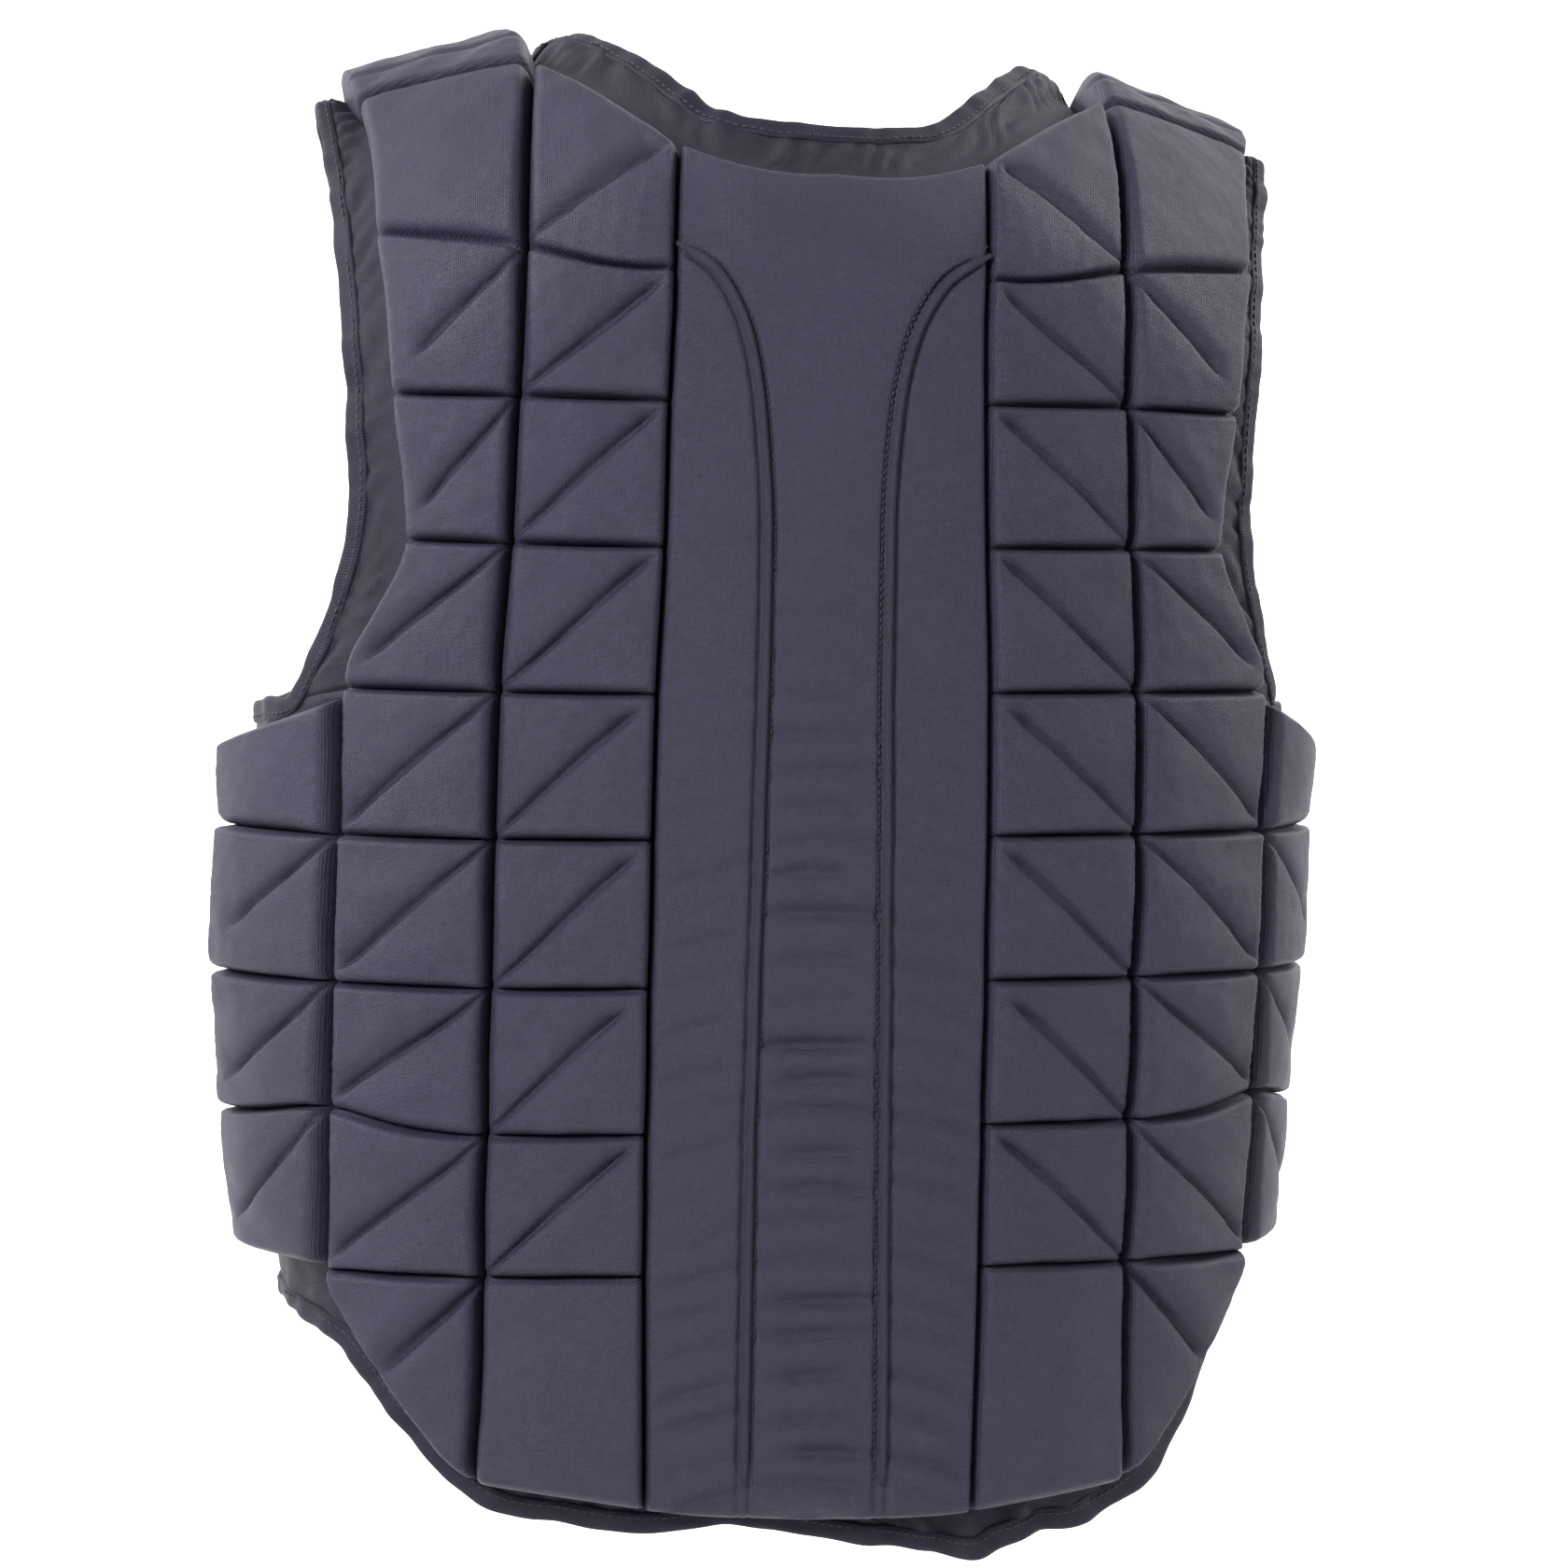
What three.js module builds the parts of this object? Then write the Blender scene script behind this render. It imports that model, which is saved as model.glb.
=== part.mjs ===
// Equestrian body protector: a waistcoat of foam blocks in woven fabric, held in its worn form.
// Millimetres. +Z is up, the wearer faces +Y, the back faces -Y, and X = 0 is the midline.
// The origin is where the shoulders carry it: on the midline, at the height of the strap's inner face.
import * as THREE from "three";

// Body form: the inner face of the shell
const CHEST_HALF_WIDTH = 200;
const CHEST_HALF_DEPTH = 106;
const SECTION_POWER = 2.35;
const SHOULDER_REACH = 140;
const SHOULDER_SLOPE = 0.4;
const SHOULDER_SOFTNESS = 60;
const BACK_ROLL = 110;
const BACK_LENGTH = 539;
// Shell, foam and clearances
const SHELL_THICKNESS = 2;
const FOAM_THICKNESS = 17.5;
const SPINE_THICKNESS = 14.5;
const GAP = 0.4;
const SEAT_GAP = 0.5;
const SEAM_GAP = 0.3;
// Columns of foam blocks
const SPINE_WIDTH = 124;
const COLUMN_WIDTH = 58;
const SIDE_STRIP_SHARE = 0.076;
const SIDE_TOP_MARGIN = 9;
const SIDE_LIFT = 0.75;
const FRONT_COLUMN_WIDTH = 60;
const FIRST_ROW = -0.127 * BACK_LENGTH;
const SECOND_ROW = -0.2105 * BACK_LENGTH;
const ROW_PITCH = 0.1011 * BACK_LENGTH;
const GROOVE_DEPTH = 11.5;
const EDGE_ROUND = 6;
const CREASE_DEPTH = 6;
const CREASE_WIDTH = 7;
const PUFF = 2;
const PAD_INSET = 7;
const PAD_GAP = 0.9;
const PAD_LIFT = 0.9;
// Openings
const ARM_EDGE = CHEST_HALF_WIDTH;
const NECK_HALF_WIDTH = 91;
const FRONT_NECK_DROP = 62;
const ARMHOLE_MARGIN = 16;
const NECK_MARGIN = 9;
const HEM_DIP = 8;
const HEM_DIP_WIDTH = 20;
const HEM_DIP_PLACE = 66;
const BORDER_STEP = 12;
// Trim
const BINDING_WIDTH = 7.5;
const BINDING_THICKNESS = 4.4;
const PIPING_DIAMETER = 3.4;
const PIPING_LIFT = 1.0;
const PLACKET_WIDTH = 44;
const PLACKET_THICKNESS = 4;
const PLACKET_DROP = 1.5;

// Width and depth of the body down its length, as shares of the chest sizes.
const FORM = [
  { down: 0.0, width: 1.0, depth: 0.93 },
  { down: 0.2, width: 1.0, depth: 0.97 },
  { down: 0.42, width: 1.0, depth: 1.0 },
  { down: 0.56, width: 0.998, depth: 1.0 },
  { down: 0.68, width: 0.97, depth: 0.97 },
  { down: 0.78, width: 0.94, depth: 0.94 },
  { down: 0.86, width: 0.925, depth: 0.93 },
  { down: 1.1, width: 0.92, depth: 0.93 },
];

// Edge of the foam and of the fabric at the back armhole, as shares of ARM_EDGE.
const BACK_ARM = [
  { row: "ridge", foam: 0.93, edge: 0.975 },
  { row: "roll", foam: 0.92, edge: 0.972 },
  { row: "top", foam: 0.895, edge: 0.965 },
  { row: "fall", foam: 0.86, edge: 0.948 },
  { row: "first", foam: 0.83, edge: 0.93 },
  { row: "second", foam: 0.795, edge: 0.9 },
  { row: "third", foam: 0.78, edge: 0.895 },
  { row: "fourth", foam: null, edge: null },
];

// The same at the front armhole, which is cut deeper.
const FRONT_ARM = [
  { row: "ridge", foam: 0.93, edge: 0.975 },
  { row: "roll", foam: 0.905, edge: 0.955 },
  { row: "top", foam: 0.86, edge: 0.925 },
  { row: "fall", foam: 0.79, edge: 0.885 },
  { row: "first", foam: 0.745, edge: 0.85 },
  { row: "second", foam: 0.69, edge: 0.8 },
  { row: "third", foam: 0.675, edge: 0.79 },
  { row: "fourth", foam: null, edge: null },
];

// Heights of the rows near the shoulder, one entry per upright line from the middle outwards.
// Back heights are shares of FIRST_ROW; "r" is a turn in degrees from the shoulder ridge.
const BACK_TOP = [
  { neck: 0.182, roll: 0.32, top: 0.467, fall: 0.724 },
  { neck: 0.168, roll: 0.3, top: 0.467, fall: 0.724 },
  { neck: 0.035, roll: 0.19, top: 0.375, fall: 0.686 },
  { neck: "r0", roll: "r18", top: "r43", fall: "r58" },
  { neck: "r0", roll: "r14", top: "r27", fall: "r48", first: 0.95 },
  { neck: "r0", roll: "r13", top: "r25", fall: "r45", first: 0.93 },
  { neck: "r0", roll: "r12", top: "r23", fall: "r42", first: 0.92 },
  { neck: "r0", roll: "r12", top: "r23", fall: "r42", first: 0.92 },
];

// Front heights are shares of FRONT_NECK_DROP below the shoulder; the neckline cuts the inner lines short.
const FRONT_TOP = [
  { neck: null, roll: null, top: null, fall: 1.0, first: 1.22 },
  { neck: null, roll: null, top: null, fall: 0.98, first: 1.2 },
  { neck: null, roll: null, top: null, fall: 0.86, first: 1.1 },
  { neck: "r0", roll: "r22", top: "r42", fall: "r60", first: 1.0 },
  { neck: "r0", roll: "r18", top: "r36", fall: "r54", first: 1.08 },
  { neck: "r0", roll: "r16", top: "r33", fall: "r50", first: 1.1 },
  { neck: "r0", roll: "r16", top: "r33", fall: "r50", first: 1.1 },
];
// How far the front line beside the neck leans out towards the ridge, from the ridge down.
const NECK_LEAN = [1.0, 0.85, 0.5, -0.3, 0];

// Bottom of the foam and of the fabric, as shares of BACK_LENGTH, from the middle outwards.
const BACK_HEM = [
  { foam: 0.988, edge: 1.0 },
  { foam: 0.986, edge: 1.004 },
  { foam: 0.981, edge: 0.998 },
  { foam: 0.972, edge: 0.99 },
  { foam: 0.961, edge: 0.977 },
  { foam: 0.905, edge: 0.925 },
  { foam: null, edge: 0.866 },
  { foam: null, edge: 0.849 },
  { foam: null, edge: 0.841 },
  { foam: null, edge: 0.841 },
];

const FRONT_HEM = [
  { foam: 0.765, edge: 0.782 },
  { foam: 0.766, edge: 0.783 },
  { foam: 0.772, edge: 0.788 },
  { foam: 0.78, edge: 0.796 },
  { foam: 0.79, edge: 0.806 },
  { foam: 0.805, edge: 0.821 },
  { foam: 0.817, edge: 0.832 },
  { foam: 0.825, edge: 0.841 },
  { foam: 0.826, edge: 0.841 },
];

// Course of the right piping on the spine panel: across, as shares of its half width; down, of BACK_LENGTH.
const PIPING = [
  { across: 0.93, down: 0.112 },
  { across: 0.66, down: 0.13 },
  { across: 0.5, down: 0.165 },
  { across: 0.41, down: 0.22 },
  { across: 0.37, down: 0.3 },
  { across: 0.37, down: 0.404 },
  { across: 0.38, down: 0.506 },
  { across: 0.39, down: 0.608 },
  { across: 0.4, down: 0.71 },
  { across: 0.405, down: 0.812 },
  { across: 0.415, down: 0.9 },
  { across: 0.42, down: 0.965 },
];

// Diagonal creases: the share of the block's diagonal that each runs, and 0 for none, from the top row.
const BACK_CREASES = {
  inner: [0.84, 0.84, 0.84, 0.84, 0.84, 0.84, 0.84, 0.84, 0],
  outer: [0, 0.72, 0.72, 0.72, 0.9, 0.9, 0.9, 0.86, 0.6],
  side: [0, 0.74, 0.74, 0.74],
};
const FRONT_CREASES = {
  inner: [0, 0.84, 0.84, 0.84, 0.84, 0.84, 0],
  outer: [0, 0.74, 0.74, 0.84, 0.84, 0.84, 0.7],
  side: [0, 0.74, 0.74, 0.74],
};

// Levels through the thickness, measured outwards from the inner face
const FOAM_FLOOR = SHELL_THICKNESS + SEAT_GAP;
const FOAM_TOP = FOAM_FLOOR + FOAM_THICKNESS;
const GROOVE_LEVEL = FOAM_TOP - GROOVE_DEPTH;
const SPINE_TOP = FOAM_FLOOR + SPINE_THICKNESS;
const QUARTER_ROLL = (BACK_ROLL * Math.PI) / 2;
const STEP = 0.4;

function tableValue(table, key, at, name) {
  let k = 0;
  while (k < table.length - 2 && at > table[k + 1][key]) k += 1;
  const a = table[k];
  const b = table[k + 1];
  const t = Math.min(Math.max((at - a[key]) / (b[key] - a[key]), 0), 1);
  const e = t * t * (3 - 2 * t);
  return a[name] + (b[name] - a[name]) * e;
}

// Arc lengths along a quarter of the body's section, kept for each size of section.
const quarters = new Map();
function quarter(a, b) {
  const key = a.toFixed(3) + "," + b.toFixed(3);
  if (quarters.has(key)) return quarters.get(key);
  const count = 90;
  const points = [];
  let length = 0;
  for (let k = 0; k <= count; k += 1) {
    const t = ((k / count) * Math.PI) / 2;
    const x = a * Math.pow(Math.sin(t), 2 / SECTION_POWER);
    const y = k === count ? 0 : b * Math.pow(Math.cos(t), 2 / SECTION_POWER);
    if (k) length += Math.hypot(x - points[k - 1].x, y - points[k - 1].y);
    points.push({ x, y, length });
  }
  const made = { points, length };
  quarters.set(key, made);
  return made;
}

// How far a point lies below the shoulder ridge, for its signed way q over the shoulder.
function dropOf(q) {
  const way = Math.abs(q);
  if (way >= QUARTER_ROLL) return BACK_ROLL + way - QUARTER_ROLL;
  return BACK_ROLL * (1 - Math.cos(way / BACK_ROLL));
}

function sectionAt(drop) {
  const down = drop / BACK_LENGTH;
  const a = CHEST_HALF_WIDTH * tableValue(FORM, "down", down, "width");
  const b = CHEST_HALF_DEPTH * tableValue(FORM, "down", down, "depth");
  return quarter(a, b);
}

// A point of the section, s along it from the middle: across, and how far back of the middle.
function sectionPoint(s, drop) {
  const arc = sectionAt(drop);
  let way = Math.abs(s);
  const past = way > arc.length;
  if (past) way = 2 * arc.length - way;
  let low = 0;
  let high = arc.points.length - 1;
  while (high - low > 1) {
    const mid = (low + high) >> 1;
    if (arc.points[mid].length > way) high = mid;
    else low = mid;
  }
  const a = arc.points[low];
  const b = arc.points[high];
  const t = (way - a.length) / (b.length - a.length);
  const y = a.y + (b.y - a.y) * t;
  return { x: Math.sign(s) * (a.x + (b.x - a.x) * t), y: past ? -y : y };
}

function ridgeHeight(x) {
  const at = Math.hypot(SHOULDER_REACH, SHOULDER_SOFTNESS);
  return SHOULDER_SLOPE * (at - Math.hypot(x, SHOULDER_SOFTNESS));
}

// The inner face: s is the way round from the middle, q the way over the shoulder, positive at the back.
function surface(s, q) {
  const drop = dropOf(q);
  const p = sectionPoint(s, drop);
  const roll = Math.min(Math.abs(q) / BACK_ROLL, Math.PI / 2);
  const side = q < 0 ? 1 : -1;
  return new THREE.Vector3(p.x, side * p.y * Math.sin(roll), ridgeHeight(p.x) - drop);
}

function place(s, q, w) {
  const ds = surface(s + STEP, q).sub(surface(s - STEP, q));
  const dq = surface(s, q + STEP).sub(surface(s, q - STEP));
  const normal = dq.cross(ds).normalize();
  return surface(s, q).addScaledVector(normal, w);
}

// The way q that reaches a height z on the line s; side is 1 for the back and -1 for the front.
function wayTo(s, z, side) {
  let drop = -z;
  for (let k = 0; k < 12; k += 1) drop = Math.max(ridgeHeight(sectionPoint(s, drop).x) - z, 0);
  if (drop >= BACK_ROLL) return side * (QUARTER_ROLL + drop - BACK_ROLL);
  return side * BACK_ROLL * Math.acos(1 - drop / BACK_ROLL);
}

function seamAt(z) {
  let drop = -z;
  for (let k = 0; k < 6; k += 1) drop = ridgeHeight(sectionAt(drop).points[90].x) - z;
  return sectionAt(drop).length;
}

const point = (s, q) => ({ s, q });
const turn = (degrees, side) => side * BACK_ROLL * THREE.MathUtils.degToRad(degrees);

function heightNode(s, value, unit, side) {
  if (value === null) return null;
  if (value === "r0") return point(s, (side * SEAM_GAP) / 2);
  if (typeof value === "string") return point(s, turn(Number(value.slice(1)), side));
  return point(s, wayTo(s, value * unit, side));
}

// The columns lean in towards the shoulders: the share of their way at each row, from the ridge down.
const LEAN = [0.89, 0.9, 0.91, 0.925, 0.935, 0.955, 0.975, 1];

// Row heights of the straight part
const THIRD_ROW = SECOND_ROW - ROW_PITCH + 1.5;
const FOURTH_ROW = THIRD_ROW - ROW_PITCH;
const ARMHOLE_DROP = ARMHOLE_MARGIN - FOURTH_ROW;
const CHEST_ARC = quarter(CHEST_HALF_WIDTH, CHEST_HALF_DEPTH).length;
const SIDE_COLUMN_WIDTH = CHEST_ARC * (1 - SIDE_STRIP_SHARE) - SPINE_WIDTH / 2 - COLUMN_WIDTH * 2;
const LOW_ROWS = [1, 2, 3, 4].map((k) => FOURTH_ROW - k * ROW_PITCH);

// Upright lines of the back and of the front, as ways from the middle
const BACK_LINES = [
  0,
  SPINE_WIDTH / 4,
  SPINE_WIDTH / 2,
  SPINE_WIDTH / 2 + COLUMN_WIDTH / 2,
  SPINE_WIDTH / 2 + COLUMN_WIDTH,
  SPINE_WIDTH / 2 + COLUMN_WIDTH * 1.5,
  SPINE_WIDTH / 2 + COLUMN_WIDTH * 2,
  SPINE_WIDTH / 2 + COLUMN_WIDTH * 2 + SIDE_COLUMN_WIDTH / 2,
  SPINE_WIDTH / 2 + COLUMN_WIDTH * 2 + SIDE_COLUMN_WIDTH,
];
const FRONT_START = PLACKET_WIDTH / 2 + GAP;
const FRONT_LINES = [
  SEAM_GAP / 2,
  FRONT_START,
  FRONT_START + FRONT_COLUMN_WIDTH / 2,
  FRONT_START + FRONT_COLUMN_WIDTH,
  FRONT_START + FRONT_COLUMN_WIDTH * 1.5,
  FRONT_START + FRONT_COLUMN_WIDTH * 2,
  FRONT_START + FRONT_COLUMN_WIDTH * 2.5,
  FRONT_START + FRONT_COLUMN_WIDTH * 3,
];

// Armhole bottom, from the outer groove to the side seam, as shares of ARMHOLE_DROP.
const BACK_SCOOP = [0, 0.955, 0.99, 1.0];
const FRONT_SCOOP = [0, 0.965, 0.99, 1.0];

// The upper lattice reaches from the shoulder to the fourth row line; a node is upper[line][row].
function upperLattice(side) {
  const back = side > 0;
  const top = back ? BACK_TOP : FRONT_TOP;
  const arm = back ? BACK_ARM : FRONT_ARM;
  const lines = back ? BACK_LINES : FRONT_LINES;
  const foamLine = back ? 6 : 5;
  const unit = back ? FIRST_ROW : -FRONT_NECK_DROP;
  const names = ["neck", "roll", "top", "fall", "first"];
  const heights = [null, null, null, null, null, SECOND_ROW, THIRD_ROW, FOURTH_ROW];
  return top.map((heads, i) =>
    arm.map((edge, j) => {
      let s = lines[i] * (back ? LEAN[j] : 1);
      const foam = edge.foam === null ? lines[foamLine] : edge.foam * ARM_EDGE;
      if (i === foamLine) s = foam;
      if (i === foamLine - 1) s = (lines[foamLine - 2] * (back ? LEAN[j] : 1) + foam) / 2;
      if (i === foamLine + 1) s = edge.edge === null ? lines[i] : edge.edge * ARM_EDGE;
      const neckLine = 3;
      if (i === neckLine && !back && j < 5) s += (NECK_HALF_WIDTH - s) * NECK_LEAN[j];
      if (i === neckLine && back && j === 0) s = NECK_HALF_WIDTH;
      if (j < 4) return heightNode(s, heads[names[j]], unit, side);
      if (j === 4 && heads.first !== undefined) return heightNode(s, heads.first, unit, side);
      if (j === 4) return point(s, wayTo(s, FIRST_ROW, side));
      const scoop = back ? BACK_SCOOP : FRONT_SCOOP;
      const z = j === 7 && i === foamLine + 1 ? -ARMHOLE_DROP * scoop[1] : heights[j];
      return point(s, wayTo(s, z, side));
    }),
  );
}

// The lower lattice reaches from the fourth row line, or the armhole, to the hem.
function lowerLattice(side) {
  const back = side > 0;
  const lines = back ? BACK_LINES : FRONT_LINES;
  const hem = back ? BACK_HEM : FRONT_HEM;
  const foamLine = back ? 6 : 5;
  const scoop = back ? BACK_SCOOP : FRONT_SCOOP;
  const last = LOW_ROWS[3];
  return hem.map((end, i) => {
    const at = (z) => {
      const s = i < lines.length ? lines[i] : seamAt(z) - SEAM_GAP / 2;
      return point(s, wayTo(s, z, side));
    };
    const topZ = i > foamLine ? -ARMHOLE_DROP * scoop[i - foamLine] : FOURTH_ROW;
    const foam = end.foam === null ? last : -BACK_LENGTH * end.foam;
    const rows = back ? LOW_ROWS : LOW_ROWS.slice(0, 3);
    const start = back ? last : LOW_ROWS[2];
    const nodes = [at(topZ), ...rows.map(at)];
    nodes.push(at((start + foam) / 2), at(foam), at(-BACK_LENGTH * end.edge));
    return nodes;
  });
}

const BACK_UP = upperLattice(1);
const BACK_LOW = lowerLattice(1);
const FRONT_UP = upperLattice(-1);
const FRONT_LOW = lowerLattice(-1);

// Builds a closed solid from an outer face of many heights and an inner face over the same edge.
class Pad {
  constructor(floor) {
    this.floor = floor;
    this.top = [];
    this.bottom = [];
    this.heights = new Map();
    this.moved = (p) => p;
  }

  key(p) {
    const s = Math.sign(p.s) * Math.round(Math.abs(p.s) * 100) || 0;
    const q = Math.round(p.q * 100) || 0;
    return s + "," + q;
  }

  face(polygon, outer) {
    const flat = polygon.map((p) => new THREE.Vector2(p.s, p.q));
    const turned = THREE.ShapeUtils.isClockWise(flat);
    const order = turned ? polygon.map((p, k) => k).reverse() : polygon.map((p, k) => k);
    const cut = THREE.ShapeUtils.triangulateShape(order.map((k) => flat[k]), []);
    cut.forEach(([a, b, c]) => {
      const tri = [polygon[order[a]], polygon[order[b]], polygon[order[c]]];
      const keys = new Set(tri.map((p) => this.key(p)));
      if (keys.size < 3) return;
      if (outer) this.top.push([tri[0], tri[2], tri[1]]);
      else this.bottom.push(tri);
    });
  }

  outer(polygon, levels) {
    polygon.forEach((p, k) => this.heights.set(this.key(p), levels[k]));
    this.face(polygon, true);
  }

  inner(polygon) {
    this.face(polygon, false);
  }

  // Adds the mirror image of every face across the midline.
  mirrorFaces() {
    const flip = ([a, b, c]) => [mirror(a), mirror(c), mirror(b)];
    [...this.heights].forEach(([key, w]) => {
      const [s, q] = key.split(",").map(Number);
      this.heights.set((-s || 0) + "," + q, w);
    });
    this.top.push(...this.top.map(flip));
    this.bottom.push(...this.bottom.map(flip));
  }

  geometry(mirrored) {
    const edges = new Map();
    this.top.forEach((tri) =>
      tri.forEach((p, k) => {
        const next = tri[(k + 1) % 3];
        edges.set(this.key(p) + "|" + this.key(next), [p, next]);
      }),
    );
    const positions = [];
    const put = (list) => {
      const order = mirrored ? [...list].reverse() : list;
      order.forEach(([p, w]) => {
        const at = this.moved(p);
        const v = place(at.s, at.q, w);
        positions.push(mirrored ? -v.x : v.x, v.y, v.z);
      });
    };
    const height = (p) => this.heights.get(this.key(p));
    this.top.forEach((tri) => put(tri.map((p) => [p, height(p)])));
    this.bottom.forEach((tri) => put(tri.map((p) => [p, this.floor])));
    edges.forEach(([a, b], name) => {
      const [from, to] = name.split("|");
      if (edges.has(to + "|" + from)) return;
      put([[b, height(b)], [a, height(a)], [a, this.floor]]);
      put([[b, height(b)], [a, this.floor], [b, this.floor]]);
    });
    const made = new THREE.BufferGeometry();
    made.setAttribute("position", new THREE.Float32BufferAttribute(positions, 3));
    made.computeVertexNormals();
    return made;
  }
}

function unit(a, b) {
  const length = Math.hypot(b.s - a.s, b.q - a.q);
  return { s: (b.s - a.s) / length, q: (b.q - a.q) / length };
}

// Moves each corner of a loop inwards by the same distance from its two edges.
function inset(loop, distance) {
  const area = loop.reduce((sum, p, k) => {
    const n = loop[(k + 1) % loop.length];
    return sum + p.s * n.q - n.s * p.q;
  }, 0);
  const sign = area > 0 ? 1 : -1;
  return loop.map((p, k) => {
    const before = unit(loop[(k + loop.length - 1) % loop.length], p);
    const after = unit(p, loop[(k + 1) % loop.length]);
    const n1 = { s: -before.q * sign, q: before.s * sign };
    const n2 = { s: -after.q * sign, q: after.s * sign };
    const scale = distance / Math.max(1 + n1.s * n2.s + n1.q * n2.q, 0.35);
    return point(p.s + (n1.s + n2.s) * scale, p.q + (n1.q + n2.q) * scale);
  });
}

const between = (a, b, t) => point(a.s + (b.s - a.s) * t, a.q + (b.q - a.q) * t);

function ring(pad, low, lowLevels, high, highLevels) {
  low.forEach((p, k) => {
    const n = (k + 1) % low.length;
    pad.outer([p, low[n], high[n], high[k]], [lowLevels[k], lowLevels[n], highLevels[n], highLevels[k]]);
  });
}

// One foam block over a loop of lattice nodes, with an optional crease from one corner to the far one.
function block(pad, loop, crease) {
  const shoulder = inset(loop, EDGE_ROUND * 0.35);
  const crown = inset(loop, EDGE_ROUND);
  const low = loop.map(() => GROOVE_LEVEL);
  const middle = loop.map(() => FOAM_TOP - GROOVE_DEPTH * 0.32);
  const high = loop.map(() => FOAM_TOP);
  if (crease) {
    middle[crease.from] -= CREASE_DEPTH * 0.45;
    high[crease.from] -= CREASE_DEPTH;
  }
  ring(pad, loop, low, shoulder, middle);
  if (!crease) {
    ring(pad, shoulder, middle, crown, high);
    const share = 1 / crown.length;
    const centre = crown.reduce((sum, p) => point(sum.s + p.s * share, sum.q + p.q * share),
      point(0, 0));
    crown.forEach((p, k) => {
      const n = (k + 1) % crown.length;
      pad.outer([p, crown[n], centre], [high[k], high[n], FOAM_TOP + PUFF]);
    });
    return;
  }
  const count = loop.length;
  const a = crease.from;
  const f = crease.to;
  const after = (a + 1) % count;
  const before = (a + count - 1) % count;
  const corner = crown[a];
  const far = crown[f];
  const near = (p, target) => Math.hypot(p.s - target.s, p.q - target.q);
  const one = between(corner, crown[after], CREASE_WIDTH / near(corner, crown[after]));
  const two = between(corner, crown[before], CREASE_WIDTH / near(corner, crown[before]));
  crown.forEach((p, k) => {
    const n = (k + 1) % count;
    const polygon = [shoulder[k], shoulder[n], crown[n], p];
    const levels = [middle[k], middle[n], high[n], high[k]];
    if (k === a) {
      polygon.splice(3, 0, one);
      levels.splice(3, 0, FOAM_TOP);
    }
    if (n === a) {
      polygon.splice(3, 0, two);
      levels.splice(3, 0, FOAM_TOP);
    }
    pad.outer(polygon, levels);
  });
  const along = unit(corner, far);
  const length = Math.hypot(far.s - corner.s, far.q - corner.q);
  const half = (CREASE_WIDTH / 2) * 0.8;
  const middlePoint = point(corner.s + along.s * length * 0.45, corner.q + along.q * length * 0.45);
  const end = point(corner.s + along.s * length * crease.run, corner.q + along.q * length * crease.run);
  const across = { s: -along.q * half, q: along.s * half };
  const sideA = point(middlePoint.s + across.s, middlePoint.q + across.q);
  const sideB = point(middlePoint.s - across.s, middlePoint.q - across.q);
  const swap = near(sideA, one) > near(sideB, one);
  const c1 = swap ? sideB : sideA;
  const c2 = swap ? sideA : sideB;
  const deep = FOAM_TOP + PUFF * 0.5 - CREASE_DEPTH * 0.8;
  const crest = FOAM_TOP + PUFF;
  pad.outer([corner, one, c1, middlePoint], [high[a], FOAM_TOP, crest, deep]);
  pad.outer([middlePoint, c1, end], [deep, crest, FOAM_TOP + PUFF * 0.6]);
  pad.outer([corner, middlePoint, c2, two], [high[a], deep, crest, FOAM_TOP]);
  pad.outer([middlePoint, end, c2], [deep, FOAM_TOP + PUFF * 0.6, crest]);
  const first = [one];
  const firstLevels = [FOAM_TOP];
  for (let k = after; k !== f; k = (k + 1) % count) {
    first.push(crown[k]);
    firstLevels.push(FOAM_TOP);
  }
  first.push(far, end, c1);
  firstLevels.push(FOAM_TOP, FOAM_TOP + PUFF * 0.6, crest);
  pad.outer(first, firstLevels);
  const second = [far];
  const secondLevels = [FOAM_TOP];
  for (let k = (f + 1) % count; k !== a; k = (k + 1) % count) {
    second.push(crown[k]);
    secondLevels.push(FOAM_TOP);
  }
  second.push(two, c2, end);
  secondLevels.push(FOAM_TOP, crest, FOAM_TOP + PUFF * 0.6);
  pad.outer(second, secondLevels);
}

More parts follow.
